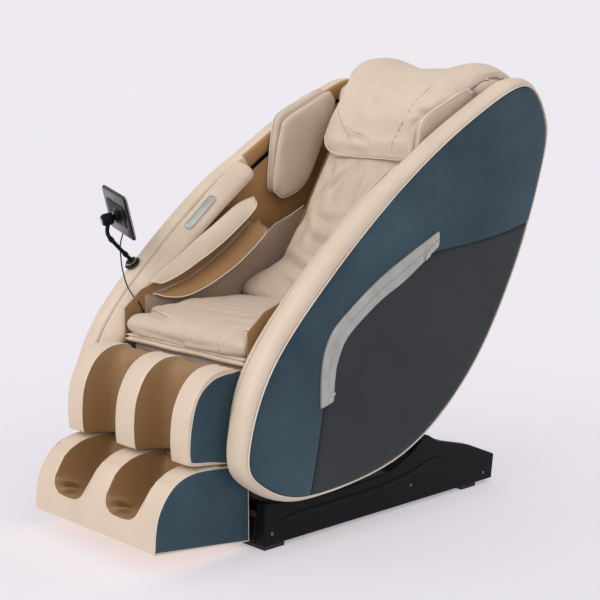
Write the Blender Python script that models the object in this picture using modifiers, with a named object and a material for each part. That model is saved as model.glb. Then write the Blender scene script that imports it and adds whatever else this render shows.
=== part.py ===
"""Full-body massage chair: a tilting pod on a sliding sled, over a low base.

Metres, +Z up.  The sitter faces -Y, so the sitter's left is +X.  Every outline of a
side piece is given as (y, z) points in the chair's middle plane.
"""
import math

import bmesh
import bpy
from mathutils import Matrix, Vector

# ------------------------------------------------------------------ driving dimensions
GAP = 0.0005                 # clearance between touching pieces
SHELL_X = 0.370              # outer face of a side shell
WALL_X = 0.3005              # inner face of a side shell
ARM_X = 0.2520               # inner face of an armrest
PANEL_X = 0.3490             # back of the outer side panels
LEG_HALF = 0.2510            # half width of the leg rest
RIDGE_W = 0.068              # width of each upholstered ridge of the leg rest
CHANNEL_W = LEG_HALF - 1.5 * RIDGE_W
SEAT_HALF = 0.2470           # half width of the seat cushion
BACK_HALF = 0.2050           # half width of the back pad
PILLOW_HALF = 0.1850         # half width of the head pillow
BASE_X = 0.3000              # outer face of a base cover
BASE_INNER_X = 0.2655        # inner face of a base cover

PIVOT = (0.000, 0.300)       # recline pivot (y, z)
KNEE = (-0.385, 0.440)       # leg rest pivot
PILLOW_PIVOT = (0.645, 1.168)
BACK_FOOT = (0.093, 0.500)   # lower end of the back pad's face
BACK_DIR = Vector((0.5023, 0.8647))      # up along the back
BACK_NORMAL = Vector((-0.8647, 0.5023))  # out of the back, towards the sitter
PAD_DEPTH = 0.050            # thickness of the back pad
LEG_DOWN = Vector((-0.1126, -0.9936))    # along the calves, towards the feet

# Outline of the side shell at the seam between outer panel and padded rim.
SEAM = [(-0.452, 0.293), (-0.373, 0.482), (-0.169, 0.691), (0.090, 0.898), (0.348, 1.054),
        (0.560, 1.138), (0.652, 1.065), (0.655, 0.940), (0.534, 0.640), (0.342, 0.362),
        (0.082, 0.184), (-0.252, 0.138), (-0.420, 0.201)]
SEAM_STEPS = 5               # points of the finished outline for each one above

# Cross-section of the padded rim: (x, height outside the seam outline).
RIM_SECTION = [(0.3680, 0.000), (0.3670, 0.014), (0.3570, 0.028), (0.3380, 0.036),
               (0.3180, 0.034), (0.3060, 0.027), (WALL_X, 0.014), (WALL_X, -0.036),
               (PANEL_X - GAP, -0.036), (PANEL_X - GAP, -0.0005)]
# Share of the rim's height kept at each point of the seam: slim above and behind.
RIM_SHARES = [1.0, 1.0, 1.0, 0.70, 0.48, 0.62, 0.50, 0.50, 0.50, 0.50, 0.55, 0.90, 1.0]
ARM_SECTION = [(WALL_X - 0.0006, 0.0260), (0.2750, 0.0100), (0.2560, -0.0045),
               (ARM_X, -0.0160), (ARM_X, -0.0360), (WALL_X - 0.0006, -0.0360)]
ARM_CLEARANCE = [(0.2700, 0.0500), (0.2300, 0.0500), (0.2300, -0.0366), (0.2700, -0.0366)]
ARM_WALL = [(-0.355, 0.545), (-0.355, 0.400), (0.320, 0.400), (0.306, 0.782),
            (0.256, 0.759), (0.208, 0.741), (0.171, 0.721), (0.124, 0.745),
            (0.105, 0.815), (0.090, 0.818), (-0.180, 0.630)]

# Airbags: outline (y, z) and, below, how far in from the shell each one reaches.
UPPER_AIRBAG = [(-0.305, 0.599), (-0.222, 0.644), (-0.151, 0.690), (-0.084, 0.736),
                (-0.020, 0.775), (0.030, 0.804), (0.072, 0.819), (0.104, 0.818),
                (0.056, 0.775), (0.013, 0.744), (-0.041, 0.708), (-0.110, 0.667),
                (-0.182, 0.629), (-0.247, 0.603)]
LOWER_AIRBAG = [(-0.301, 0.579), (-0.210, 0.586), (-0.139, 0.610), (-0.066, 0.645),
                (0.004, 0.687), (0.055, 0.724), (0.086, 0.748), (0.124, 0.753),
                (0.127, 0.733), (0.090, 0.698), (0.038, 0.662), (-0.022, 0.626),
                (-0.096, 0.590), (-0.173, 0.564), (-0.238, 0.565)]
SHOULDER_AIRBAG = [(0.190, 0.838), (0.206, 0.931), (0.237, 1.034), (0.333, 1.080),
                   (0.420, 1.106), (0.450, 1.085), (0.405, 1.000), (0.360, 0.920),
                   (0.322, 0.850), (0.236, 0.809)]

TRIM = [(0.204, 0.762), (0.079, 0.707), (-0.025, 0.656), (-0.129, 0.589), (-0.183, 0.546),
        (-0.211, 0.498), (-0.223, 0.440), (-0.225, 0.356), (-0.179, 0.369),
        (-0.172, 0.432), (-0.158, 0.487), (-0.114, 0.534), (-0.024, 0.595),
        (0.080, 0.645), (0.182, 0.702), (0.203, 0.722)]
# Edge between the two outer panels, rear to front, then round below the shell.
PANEL_SPLIT = [(0.750, 0.788), (0.600, 0.759), (0.463, 0.732), (0.203, 0.715),
               (0.080, 0.675), (-0.025, 0.625), (-0.120, 0.562), (-0.170, 0.515),
               (-0.190, 0.450), (-0.205, 0.360), (-0.235, 0.253), (-0.250, 0.050),
               (0.750, 0.050)]

SEAT_PROFILE = [(-0.364, 0.474), (-0.370, 0.497), (-0.345, 0.520), (-0.300, 0.521),
                (-0.240, 0.538), (-0.150, 0.546), (-0.060, 0.543), (0.020, 0.530),
                (0.080, 0.499), (0.116, 0.466), (0.100, 0.404), (-0.325, 0.402),
                (-0.335, 0.455)]
BACK_PROFILE = [BACK_FOOT, (0.432, 1.083), (0.470, 1.124), (0.540, 1.150), (0.618, 1.140),
                (0.606, 1.095), (0.545, 1.092), (0.4777, 1.0630), (0.1362, 0.4750)]
PILLOW_PROFILE = [(0.325, 0.925), (0.290, 0.960), (0.332, 1.050), (0.400, 1.135),
                  (0.478, 1.193), (0.570, 1.204), (0.640, 1.186), (0.650, 1.164),
                  (0.545, 1.170), (0.462, 1.140), (0.424, 1.095), (0.342, 0.948)]

CALF_PROFILE = [(-0.541, 0.248), (-0.543, 0.312), (-0.533, 0.371), (-0.499, 0.426),
                (-0.452, 0.457), (-0.386, 0.454), (-0.372, 0.440), (-0.385, 0.236)]
CALF_CHANNEL = [(-0.620, 0.150), (-0.620, 0.520), (-0.398, 0.520), (-0.402, 0.445),
                (-0.428, 0.400), (-0.440, 0.340), (-0.441, 0.150)]
FOOT_PROFILE = [(-0.650, 0.052), (-0.645, 0.114), (-0.632, 0.160), (-0.602, 0.207),
                (-0.557, 0.229), (-0.496, 0.230), (-0.420, 0.221), (-0.358, 0.213),
                (-0.356, 0.018)]
FOOT_WELL_BACK = -0.430      # rear wall of a foot well
FOOT_WELL_FLOOR = 0.112      # lowest point of the rounded well opening
FOOT_RAIL = (-0.4050, 0.2190)   # lower end of the rods that the foot rest slides on
FOOT_ROLLER = (-0.530, 0.086)
FOOT_ROLLER_R = 0.022

BASE_PROFILE = [(-0.345, 0.010), (0.540, 0.010), (0.549, 0.081), (0.439, 0.127),
                (0.301, 0.164), (0.262, 0.188), (0.236, 0.180), (0.190, 0.148),
                (0.100, 0.114), (-0.100, 0.104), (-0.250, 0.110), (-0.341, 0.122)]
REAR_DECK = [(0.545, 0.0560), (0.5455, 0.0770), (0.4380, 0.1200), (0.3010, 0.1560),
             (0.2550, 0.1650), (0.1900, 0.1380), (0.1350, 0.1120), (0.1350, 0.0770),
             (0.1390, 0.0770), (0.1390, 0.1090), (0.1920, 0.1340), (0.2550, 0.1605),
             (0.3000, 0.1515), (0.4365, 0.1155), (0.5410, 0.0740), (0.5410, 0.0560)]
BASE_FLOOR_Z = 0.010
TRAY_TOP_Z = 0.0745
WHEEL = (0.520, 0.029)
WHEEL_R = 0.025
WHEEL_X = 0.236
SWITCH = (0.132, 0.4945, 0.0350)
SLED_PLATE_Z = (0.0750, 0.0830)
RECLINE_FOOT = Vector((0.0, -0.220, 0.118))      # actuator pins
RECLINE_HEAD = Vector((0.0, 0.100, 0.240))
LEG_FOOT = Vector((0.0, -0.080, 0.310))
LEG_HEAD = Vector((0.0, -0.368, 0.330))

TABLET_ALONG = Vector((0.9396, -0.3289, -0.0950)).normalized()  # along the long side
TABLET_FACE = Vector((0.3423, 0.9071, 0.2450)).normalized()     # out of the screen
TABLET_SIZE = (0.215, 0.1236, 0.010)
TABLET_BALL = Vector((-0.3453, -0.3338, 0.7786))
BALL_R = 0.016
TABLET_FOOT = Vector((-0.3350, -0.2640, 0.6490))                # on the crown of the rim
CABLE_R = 0.0016
CABLE_ROUTE = [(-0.3455, -0.2888, 0.7350), (-0.3430, -0.2950, 0.7220),
               (-0.3340, -0.3060, 0.7080), (-0.3215, -0.3150, 0.6870),
               (-0.3060, -0.3220, 0.6475), (-0.2850, -0.3225, 0.6020),
               (-0.2640, -0.3175, 0.5740), (-0.2450, -0.3090, 0.5520),
               (-0.2425, -0.3035, 0.5405), (-0.2432, -0.3000, 0.5330)]
GLAND_LENGTH = 0.010
HOUSING_SHARE = 0.62         # part of an actuator's pin distance that its housing fills

# ------------------------------------------------------------------ materials
COLOURS = {                  # name: (linear colour, roughness, metallic)
    "cream": ((0.72, 0.58, 0.45), 0.45, 0.0),
    "tan": ((0.33, 0.17, 0.06), 0.50, 0.0),
    "taupe": ((0.45, 0.36, 0.28), 0.50, 0.0),
    "blue": ((0.03, 0.08, 0.12), 0.60, 0.0),
    "grey": ((0.035, 0.04, 0.045), 0.55, 0.0),
    "black": ((0.01, 0.01, 0.012), 0.40, 0.0),
    "rubber": ((0.015, 0.015, 0.015), 0.85, 0.0),
    "silver": ((0.42, 0.42, 0.38), 0.30, 0.9),
    "steel": ((0.35, 0.35, 0.36), 0.40, 0.9),
}


def clear_scene():
    """Remove every object that the file opened with."""
    for old in list(bpy.data.objects):
        bpy.data.objects.remove(old, do_unlink=True)


def new_collection(name):
    made = bpy.data.collections.new(name)
    bpy.context.scene.collection.children.link(made)
    return made


clear_scene()
PARTS = new_collection("massage_chair")
CUTTERS = new_collection("cutters")
ORIGIN = bpy.data.objects.new("chair_origin", None)
PARTS.objects.link(ORIGIN)
CARRIERS = {}                # name: (empty on a joint's axis, its place in the chair)


def material(colour, name):
    """A Principled material for one sub-part."""
    rgb, rough, metal = COLOURS[colour]
    made = bpy.data.materials.new(name + "_material")
    made.use_nodes = True
    shader = made.node_tree.nodes["Principled BSDF"]
    shader.inputs["Base Color"].default_value = (*rgb, 1.0)
    shader.inputs["Roughness"].default_value = rough
    shader.inputs["Metallic"].default_value = metal
    return made


# ------------------------------------------------------------------ outline maths
def smooth_loop(points, steps):
    """A closed smooth curve (Catmull-Rom) through the points, as a list of points."""
    loop = []
    count = len(points)
    for i in range(count):
        a, b, c, d = (Vector(points[(i + k) % count]) for k in (-1, 0, 1, 2))
        for s in range(steps):
            t = s / steps
            loop.append(0.5 * (2 * b + (c - a) * t + (2 * a - 5 * b + 4 * c - d) * t * t
                               + (3 * b - a - 3 * c + d) * t ** 3))
    return loop


def smooth_path(points, steps):
    """An open smooth curve through the points, in two or three dimensions."""
    pts = [Vector(p) for p in points]
    pts = [2 * pts[0] - pts[1]] + pts + [2 * pts[-1] - pts[-2]]
    path = []
    for i in range(1, len(pts) - 2):
        a, b, c, d = pts[i - 1:i + 3]
        for s in range(steps):
            t = s / steps
            path.append(0.5 * (2 * b + (c - a) * t + (2 * a - 5 * b + 4 * c - d) * t * t
                               + (3 * b - a - 3 * c + d) * t ** 3))
    return path + [pts[-2]]


def winding(loop):
    """Twice the signed area of a loop, positive where it runs anticlockwise."""
    return sum(a[0] * b[1] - b[0] * a[1] for a, b in zip(loop, loop[1:] + loop[:1]))


def normals(loop):
    """The outward normal at each point of a closed loop."""
    sign = 1.0 if winding(loop) > 0 else -1.0
    out = []
    for i in range(len(loop)):
        run = Vector(loop[(i + 1) % len(loop)]) - Vector(loop[i - 1])
        out.append(Vector((run.y, -run.x)).normalized() * sign)
    return out


def offset(loop, distance):
    """The loop moved outwards by the distance."""
    return [Vector(p) + n * distance for p, n in zip(loop, normals(loop))]


# ------------------------------------------------------------------ modelling helpers
def carrier(name, spot, parent=None):
    """Put an empty on a joint's axis, to carry the pieces that move with that joint."""
    empty = bpy.data.objects.new(name + "_axis", None)
    PARTS.objects.link(empty)
    above, base = CARRIERS[parent] if parent else (ORIGIN, Vector())
    empty.parent = above
    empty.location = Vector(spot) - base
    CARRIERS[name] = (empty, Vector(spot))


def place(obj, name, colour, on=None):
    """Name a finished piece, give it its material and hang it on its carrier."""
    obj.name = name
    obj.data.name = name
    obj.data.materials.clear()
    obj.data.materials.append(material(colour, name))
    for old in list(obj.users_collection):
        old.objects.unlink(obj)
    PARTS.objects.link(obj)
    holder, spot = CARRIERS[on] if on else (ORIGIN, Vector())
    obj.parent = holder
    obj.location -= spot
    return obj


def from_bmesh(bm, name):
    bmesh.ops.recalc_face_normals(bm, faces=bm.faces)
    if bm.calc_volume(signed=True) < 0:
        bmesh.ops.reverse_faces(bm, faces=bm.faces)
    mesh = bpy.data.meshes.new(name)
    bm.to_mesh(mesh)
    bm.free()
    obj = bpy.data.objects.new(name, mesh)
    bpy.context.scene.collection.objects.link(obj)
    return obj


def as_mesh(curve):
    """Turn a curve object into a closed mesh object in the same place."""
    bpy.context.view_layer.update()
    evaluated = curve.evaluated_get(bpy.context.evaluated_depsgraph_get())
    mesh = bpy.data.meshes.new_from_object(evaluated)
    bm = bmesh.new()
    bm.from_mesh(mesh)
    bm.transform(curve.matrix_world)
    bmesh.ops.remove_doubles(bm, verts=bm.verts, dist=1e-6)
    bpy.data.meshes.remove(mesh)
    bpy.data.objects.remove(curve, do_unlink=True)
    return from_bmesh(bm, "outline")


def plate(loops, low, high, across="X"):
    """A flat piece: 2D outlines (the first is the edge, the rest are holes), extruded."""
    curve = bpy.data.curves.new("outline", "CURVE")
    curve.dimensions = "2D"
    curve.fill_mode = "BOTH"
    curve.extrude = (high - low) / 2
    for loop in loops:
        spline = curve.splines.new("POLY")
        spline.points.add(len(loop) - 1)
        spline.use_cyclic_u = True
        for point, (u, v) in zip(spline.points, loop):
            point.co = (u, v, 0.0, 1.0)
    obj = bpy.data.objects.new("outline", curve)
    bpy.context.scene.collection.objects.link(obj)
    middle = (low + high) / 2
    if across == "X":                      # outline in (y, z)
        obj.rotation_euler = (math.pi / 2, 0.0, math.pi / 2)
        obj.location = (middle, 0.0, 0.0)
    elif across == "Y":                    # outline in (x, z)
        obj.rotation_euler = (math.pi / 2, 0.0, 0.0)
        obj.location = (0.0, middle, 0.0)
    else:                                  # outline in (x, y)
        obj.location = (0.0, 0.0, middle)
    return as_mesh(obj)


def block(low, high):
    """A box between two corners."""
    size = Vector(high) - Vector(low)
    bm = bmesh.new()
    bmesh.ops.create_cube(bm, size=1.0)
    bmesh.ops.scale(bm, vec=size, verts=bm.verts)
    bmesh.ops.translate(bm, vec=(Vector(high) + Vector(low)) / 2, verts=bm.verts)
    return from_bmesh(bm, "block")


def rod(start, end, radius, sides=20, end_radius=None):
    """A solid cylinder or cone between two points."""
    start, end = Vector(start), Vector(end)
    bm = bmesh.new()
    bmesh.ops.create_cone(bm, cap_ends=True, segments=sides, radius1=radius,
                          radius2=radius if end_radius is None else end_radius,
                          depth=(end - start).length)
    turn = (end - start).to_track_quat("Z", "Y").to_matrix().to_4x4()
    bm.transform(Matrix.Translation((start + end) / 2) @ turn)
    return from_bmesh(bm, "rod")


def tube(points, radius, closed=False, resolution=2):
    """A bent tube along a list of 3D points."""
    curve = bpy.data.curves.new("tube", "CURVE")
    curve.dimensions = "3D"
    curve.bevel_depth = radius
    curve.bevel_resolution = resolution
    curve.use_fill_caps = True
    spline = curve.splines.new("POLY")
    spline.points.add(len(points) - 1)
    spline.use_cyclic_u = closed
    for point, co in zip(spline.points, points):
        point.co = (*co, 1.0)
    obj = bpy.data.objects.new("tube", curve)
    bpy.context.scene.collection.objects.link(obj)
    return obj


def sweep(rings, closed):
    """A solid whose skin runs through equal rings of points, capped if it is open."""
    bm = bmesh.new()
    rows = [[bm.verts.new(co) for co in ring] for ring in rings]
    count = len(rows[0])
    spans = len(rows) if closed else len(rows) - 1
    for i in range(spans):
        here, there = rows[i], rows[(i + 1) % len(rows)]
        for k in range(count):
            bm.faces.new((here[k], here[(k + 1) % count], there[(k + 1) % count], there[k]))
    if not closed:
        bm.faces.new(rows[0])
        bm.faces.new(rows[-1])
        bmesh.ops.triangulate(bm, faces=[f for f in bm.faces if len(f.verts) > 4])
    return from_bmesh(bm, "sweep")


def boolean(target, tool, operation):
    """Cut, join or intersect a mesh with another, which goes with the cutters."""
    for old in list(tool.users_collection):
        old.objects.unlink(tool)
    CUTTERS.objects.link(tool)
    tool.hide_render = True
    tool.display_type = "WIRE"
    tool.name = "cutter"
    tool.parent = ORIGIN
    step = target.modifiers.new(operation.lower(), "BOOLEAN")
    step.operation = operation
    step.solver = "EXACT"
    step.object = tool
    return target


def cut(target, tool):
    return boolean(target, tool, "DIFFERENCE")


def join(target, tool):
    return boolean(target, tool, "UNION")


def rounded(obj, width, segments=2, angle=40.0):
    """Round every sharp edge."""
    bevel = obj.modifiers.new("edge", "BEVEL")
    bevel.width = width
    bevel.segments = segments
    bevel.limit_method = "ANGLE"
    bevel.angle_limit = math.radians(angle)
    return obj


def both_sides():
    """(sign, suffix) for the sitter's left, at +X, and right."""
    return ((1.0, "left"), (-1.0, "right"))


def span(side, near, far):
    """The low and high x of a piece between two distances from the middle plane."""
    return (near, far) if side > 0 else (-far, -near)


def on_back(x, up, out):
    """A point given by its place along the back pad's face and height off it."""
    flat = Vector(BACK_FOOT) + BACK_DIR * up + BACK_NORMAL * out
    return Vector((x, flat.x, flat.y))


# ------------------------------------------------------------------ base
def make_base():
    for side, suffix in both_sides():
        cover = plate([BASE_PROFILE], *span(side, BASE_INNER_X, BASE_X))
        rounded(cover, 0.004)
        join(cover, rod((side * (BASE_INNER_X + 0.01), *WHEEL), (side * 0.222, *WHEEL), 0.005, 16))
        place(cover, "base_cover_" + suffix, "black")
        wheel = rod((side * (WHEEL_X - 0.010), *WHEEL), (side * (WHEEL_X + 0.010), *WHEEL),
                    WHEEL_R, 28)
        cut(wheel, rod((side * (WHEEL_X - 0.02), *WHEEL), (side * (WHEEL_X + 0.02), *WHEEL),
                       0.0054, 16))
        carrier("wheel_" + suffix, (side * WHEEL_X, *WHEEL))
        place(wheel, "transport_wheel_" + suffix, "rubber", "wheel_" + suffix)
    inside = BASE_INNER_X - GAP
    tray = block((-0.262, -0.330, BASE_FLOOR_Z), (0.262, 0.485, TRAY_TOP_Z))
    cut(tray, block((-0.222, -0.300, 0.015), (0.222, 0.455, 0.2)))
    join(tray, block((0.080, 0.480, 0.0180), (0.150, 0.4950, 0.0520)))      # power inlet
    cut(tray, block((0.087, 0.4880, 0.0250), (0.113, 0.5000, 0.0450)))
    cut(tray, block((0.1195, 0.4880, 0.0245), (0.1445, 0.5000, 0.0455)))
    place(tray, "base_tray", "steel")
    front = block((-inside, -0.345, 0.012), (inside, -0.331, SLED_PLATE_Z[0] - 0.001))
    place(rounded(front, 0.003), "base_front_cover", "black")
    deck = plate([REAR_DECK], -inside, inside)
    place(deck, "base_rear_deck", "black")
    foot_z = BASE_FLOOR_Z - 0.0004
    for name, y0, y1 in (("front_foot", -0.342, -0.276), ("rear_foot", 0.410, 0.470)):
        foot = block((-0.297, y0, 0.0), (0.297, y1, foot_z))
        place(foot, name, "rubber")
    place(rounded(block((-0.205, 0.200, 0.0155), (-0.020, 0.400, 0.0700)), 0.004),
          "control_box", "grey")
    place(rounded(block((0.030, 0.200, 0.0155), (0.200, 0.380, 0.0720)), 0.010),
          "air_pump", "black")
    x, y, z = SWITCH
    switch = rod((x - 0.0105, y, z), (x + 0.0105, y, z), 0.0058, 20)
    carrier("switch", SWITCH)
    place(switch, "power_switch", "rubber", "switch")


# ------------------------------------------------------------------ sled and actuators
def make_sled():
    sled = block((-0.250, -0.250, SLED_PLATE_Z[0]), (0.250, 0.120, SLED_PLATE_Z[1]))
    upright = [(-0.080, 0.079), (0.080, 0.079), (0.026, 0.300), (0.014, 0.322),
               (-0.014, 0.322), (-0.026, 0.300)]
    for side, _ in both_sides():
        join(sled, plate([upright], *span(side, 0.205, 0.215)))
    for low, high in ((-0.036, -0.024), (0.024, 0.036)):
        join(sled, block((low, -0.245, 0.079), (high, -0.195, 0.135)))
    cut(sled, rod((-0.3, *PIVOT), (0.3, *PIVOT), 0.0125, 24))
    cut(sled, rod((-0.1, *RECLINE_FOOT.yz), (0.1, *RECLINE_FOOT.yz), 0.0065, 16))
    place(sled, "sled_frame", "steel", "sled")


def make_actuator(prefix, foot, head, parent):
    """A linear actuator: a housing pivoted at its foot and a rod that slides in it."""
    along = (head - foot).normalized()
    mouth = foot + (head - foot) * HOUSING_SHARE
    housing = rod(foot - along * 0.012, mouth, 0.021, 20)
    motor = mouth - along * 0.075 + Vector((0.0, along.z, -along.y)) * -0.036
    join(housing, rod(motor - along * 0.045, motor + along * 0.030, 0.019, 20))
    join(housing, rod(foot - Vector((0.048, 0, 0)), foot + Vector((0.048, 0, 0)), 0.006, 16))
    cut(housing, rod(foot + along * 0.045, mouth + along * 0.010, 0.0105, 20))
    carrier(prefix + "_actuator", foot, parent)
    carrier(prefix + "_rod", foot, prefix + "_actuator")
    place(housing, prefix + "_actuator", "grey", prefix + "_actuator")
    piston = rod(foot + along * 0.095, head - along * 0.012, 0.0095, 16)
    place(piston, prefix + "_rod", "steel", prefix + "_rod")


# ------------------------------------------------------------------ pod
def make_shell(side, suffix):
    """One side shell: padded rim, two outer panels, trim strip, arm panel and lining."""
    seam = smooth_loop(SEAM, SEAM_STEPS)
    out = normals(seam)

    def section(index, shape):
        point, step = divmod(index % len(seam), SEAM_STEPS)
        here, after = RIM_SHARES[point], RIM_SHARES[(point + 1) % len(RIM_SHARES)]
        share = here + (after - here) * step / SEAM_STEPS if shape is RIM_SECTION else 1.0
        swell = share * min(1.0, 0.45 + 0.60 * max(0.0, out[index].y))
        ring = []
        for x, height in shape:
            reach = height * swell if height > 0 else height
            flat = seam[index] + out[index] * reach
            ring.append((side * x, flat.x, flat.y))
        return ring

    rim = sweep([section(i, RIM_SECTION) for i in range(len(seam))], closed=True)
    place(rim, "rim_" + suffix, "cream", "pod")

    front = [i for i in range(-5, len(seam)) if i <= 3 * SEAM_STEPS]
    arm = sweep([section(i, ARM_SECTION) for i in front], closed=False)
    place(arm, "arm_panel_" + suffix, "cream", "pod")

    disc = offset(seam, -0.0012)
    x0, x1 = span(side, PANEL_X, SHELL_X)
    lower = plate([disc], x0, x1)
    boolean(lower, plate([PANEL_SPLIT], x0 - 0.05, x1 + 0.05), "INTERSECT")
    place(lower, "lower_panel_" + suffix, "grey", "pod")
    upper = plate([disc], x0, x1)
    cut(upper, plate([offset(PANEL_SPLIT, 0.0010)], x0 - 0.05, x1 + 0.05))
    place(upper, "upper_panel_" + suffix, "blue", "pod")

    trim = plate([TRIM], *span(side, SHELL_X + GAP, SHELL_X + 0.0065))
    place(rounded(trim, 0.002, 1), "side_trim_" + suffix, "silver", "pod")

    lining = [Vector((max(p.x, -0.355), p.y)) for p in offset(seam, -0.037)]
    place(plate([lining], *span(side, 0.2960, 0.3000)), "side_lining_" + suffix, "tan", "pod")
    wall = plate([ARM_WALL], *span(side, 0.2495, 0.2535))
    cut(wall, sweep([section(i, ARM_CLEARANCE) for i in front], closed=False))
    place(wall, "arm_wall_" + suffix, "taupe", "pod")


def make_airbags(side, suffix):
    for name, outline, inner, colour in (
            ("arm_airbag_upper_", UPPER_AIRBAG, 0.205, "cream"),
            ("arm_airbag_lower_", LOWER_AIRBAG, 0.200, "tan"),
            ("shoulder_airbag_", SHOULDER_AIRBAG, 0.246, "taupe")):
        outer = 0.2955 if name.startswith("shoulder") else 0.2490
        bag = plate([smooth_loop(outline, 3)], *span(side, inner, outer))
        place(rounded(bag, 0.008, 2, 60.0), name + suffix, colour, "pod")


def make_frames():
    place(rod((-0.2485, *PIVOT), (0.2485, *PIVOT), 0.012, 24), "pivot_shaft", "steel", "pod")
    place(rod((-LEG_HALF, *KNEE), (LEG_HALF, *KNEE), 0.0060, 16), "legrest_shaft", "steel", "pod")
    seat_ring = [(-0.190, -0.300), (0.190, -0.300), (0.190, 0.070), (-0.190, 0.070)]
    ring = smooth_corners([(x, y, 0.3880) for x, y in seat_ring], 0.05)
    place(tube(ring, 0.0125, closed=True), "seat_frame", "steel", "pod")
    corners = [on_back(x, up, -0.125) for x, up in
               ((-0.190, 0.02), (0.190, 0.02), (0.190, 0.58), (-0.190, 0.58))]
    place(tube(smooth_corners(corners, 0.05), 0.0125, closed=True), "back_frame", "steel", "pod")


def smooth_corners(corners, radius, steps=5):
    """A closed polygon with each corner rounded by a short curve."""
    path = []
    for i, corner in enumerate(corners):
        corner = Vector(corner)
        before = (Vector(corners[i - 1]) - corner).normalized() * radius
        after = (Vector(corners[(i + 1) % len(corners)]) - corner).normalized() * radius
        for s in range(steps + 1):
            t = s / steps
            path.append(corner + before * (1 - t) ** 2 + after * t ** 2)
    return path


def make_pads():
    seat = plate([SEAT_PROFILE], -SEAT_HALF, SEAT_HALF)
    place(rounded(seat, 0.008), "seat_cushion", "cream", "pod")
    back = plate([BACK_PROFILE], -BACK_HALF, BACK_HALF)
    place(back, "back_pad", "cream", "pod")
    seam = smooth_loop(SEAM, SEAM_STEPS)
    rear = range(6 * SEAM_STEPS, 9 * SEAM_STEPS + 4)
    outer, inner = offset(seam, -0.019), offset(seam, -0.024)
    strip = [outer[i] for i in rear] + [inner[i] for i in reversed(rear)]
    place(plate([strip], -0.2955, 0.2955), "back_cover", "grey", "pod")
    low, high = on_back(0.0, -0.005, -PAD_DEPTH - 0.0005), on_back(0.0, 0.660, -PAD_DEPTH - 0.0005)
    thin = Vector((0.0, *BACK_NORMAL)) * -0.002
    sheet = [p.yz for p in (low, high, high + thin, low + thin)]
    place(plate([sheet], -0.2490, 0.2490), "back_lining", "tan", "pod")
    pillow = plate([PILLOW_PROFILE], -PILLOW_HALF, PILLOW_HALF)
    carrier("pillow", (0.0, *PILLOW_PIVOT), "pod")
    place(rounded(pillow, 0.006), "head_pillow", "cream", "pillow")


# ------------------------------------------------------------------ massage mechanism
CARRIAGE_UP = 0.300          # rest place of the carriage along the back
ROLLER_R = 0.030
ROLLER_OUT = -0.0835         # depth of the roller axes behind the pad's face


def make_mechanism():
    """A carriage that climbs the back frame and carries four kneading rollers."""
    body = block((-0.160, -0.070, -0.020), (0.160, 0.070, 0.020))
    for side, _ in both_sides():
        x0, x1 = span(side, 0.038, 0.050)
        join(body, block((x0, -0.075, 0.010), (x1, 0.075, 0.068)))
    for up in (-0.055, 0.055):
        cut(body, rod((-0.06, up, 0.0565), (0.06, up, 0.0565), 0.0066, 16))
    foot = on_back(0.0, CARRIAGE_UP, ROLLER_OUT - 0.0565)
    lift = Vector((0.0, *BACK_DIR))
    face = Vector((0.0, *BACK_NORMAL))
    turn = Matrix((Vector((1, 0, 0)), lift, face)).transposed().to_4x4()
    body.data.transform(Matrix.Translation(foot) @ turn)
    for step in body.modifiers:
        step.object.data.transform(Matrix.Translation(foot) @ turn)
    carrier("carriage", foot, "pod")
    place(body, "massage_carriage", "grey", "carriage")
    for up, level in ((-0.055, "low"), (0.055, "high")):
        here = on_back(0.0, CARRIAGE_UP + up, ROLLER_OUT)
        flat = (here.y, here.z)
        shaft = rod((-0.080, *flat), (0.080, *flat), 0.006, 16)
        for side, _ in both_sides():
            join(shaft, rod((side * 0.0525, *flat), (side * 0.0745, *flat), ROLLER_R, 24))
        carrier("rollers_" + level, here, "carriage")
        place(shaft, "kneading_rollers_" + level, "rubber", "rollers_" + level)


# ------------------------------------------------------------------ leg rest
def make_legrest():
    half = LEG_HALF
    middle = RIDGE_W / 2
    calf = plate([CALF_PROFILE], -half, half)
    foot = plate([FOOT_PROFILE], -half, half)
    for side, suffix in both_sides():
        near, far = span(side, middle, middle + CHANNEL_W)
        cut(calf, plate([CALF_CHANNEL], near, far))
        centre = (near + far) / 2
        radius = CHANNEL_W / 2
        well = [(far, 0.300), (near, 0.300)]
        for s in range(13):
            angle = math.pi + math.pi * s / 12
            well.append((centre + radius * math.cos(angle),
                         FOOT_WELL_FLOOR + radius * (1 + math.sin(angle))))
        cut(foot, plate([well], -0.700, FOOT_WELL_BACK, across="Y"))
        y, z = FOOT_ROLLER
        cut(foot, block((centre - 0.050, y - 0.026, z - 0.026),
                        (centre + 0.050, y + 0.026, FOOT_WELL_FLOOR + 0.030)))
        roller = rod((centre - 0.045, y, z), (centre + 0.045, y, z), FOOT_ROLLER_R, 20)
        carrier("foot_roller_" + suffix, (centre, y, z), "footrest")
        place(roller, "foot_roller_" + suffix, "rubber", "foot_roller_" + suffix)
        lower = Vector((side * 0.110, *FOOT_RAIL))
        up = Vector((0.0, *(-LEG_DOWN)))
        foot_rail = rod(lower + up * 0.003, lower + up * 0.170, 0.0080, 16)
        cut(calf, rod(lower, lower + up * 0.200, 0.0088, 16))
        place(foot_rail, "foot_rail_" + suffix, "steel", "footrest")
    cut(calf, rod((-0.3, *KNEE), (0.3, *KNEE), 0.0066, 16))
    place(calf, "calf_rest", "cream", "legrest")
    place(foot, "foot_rest", "cream", "footrest")


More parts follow.
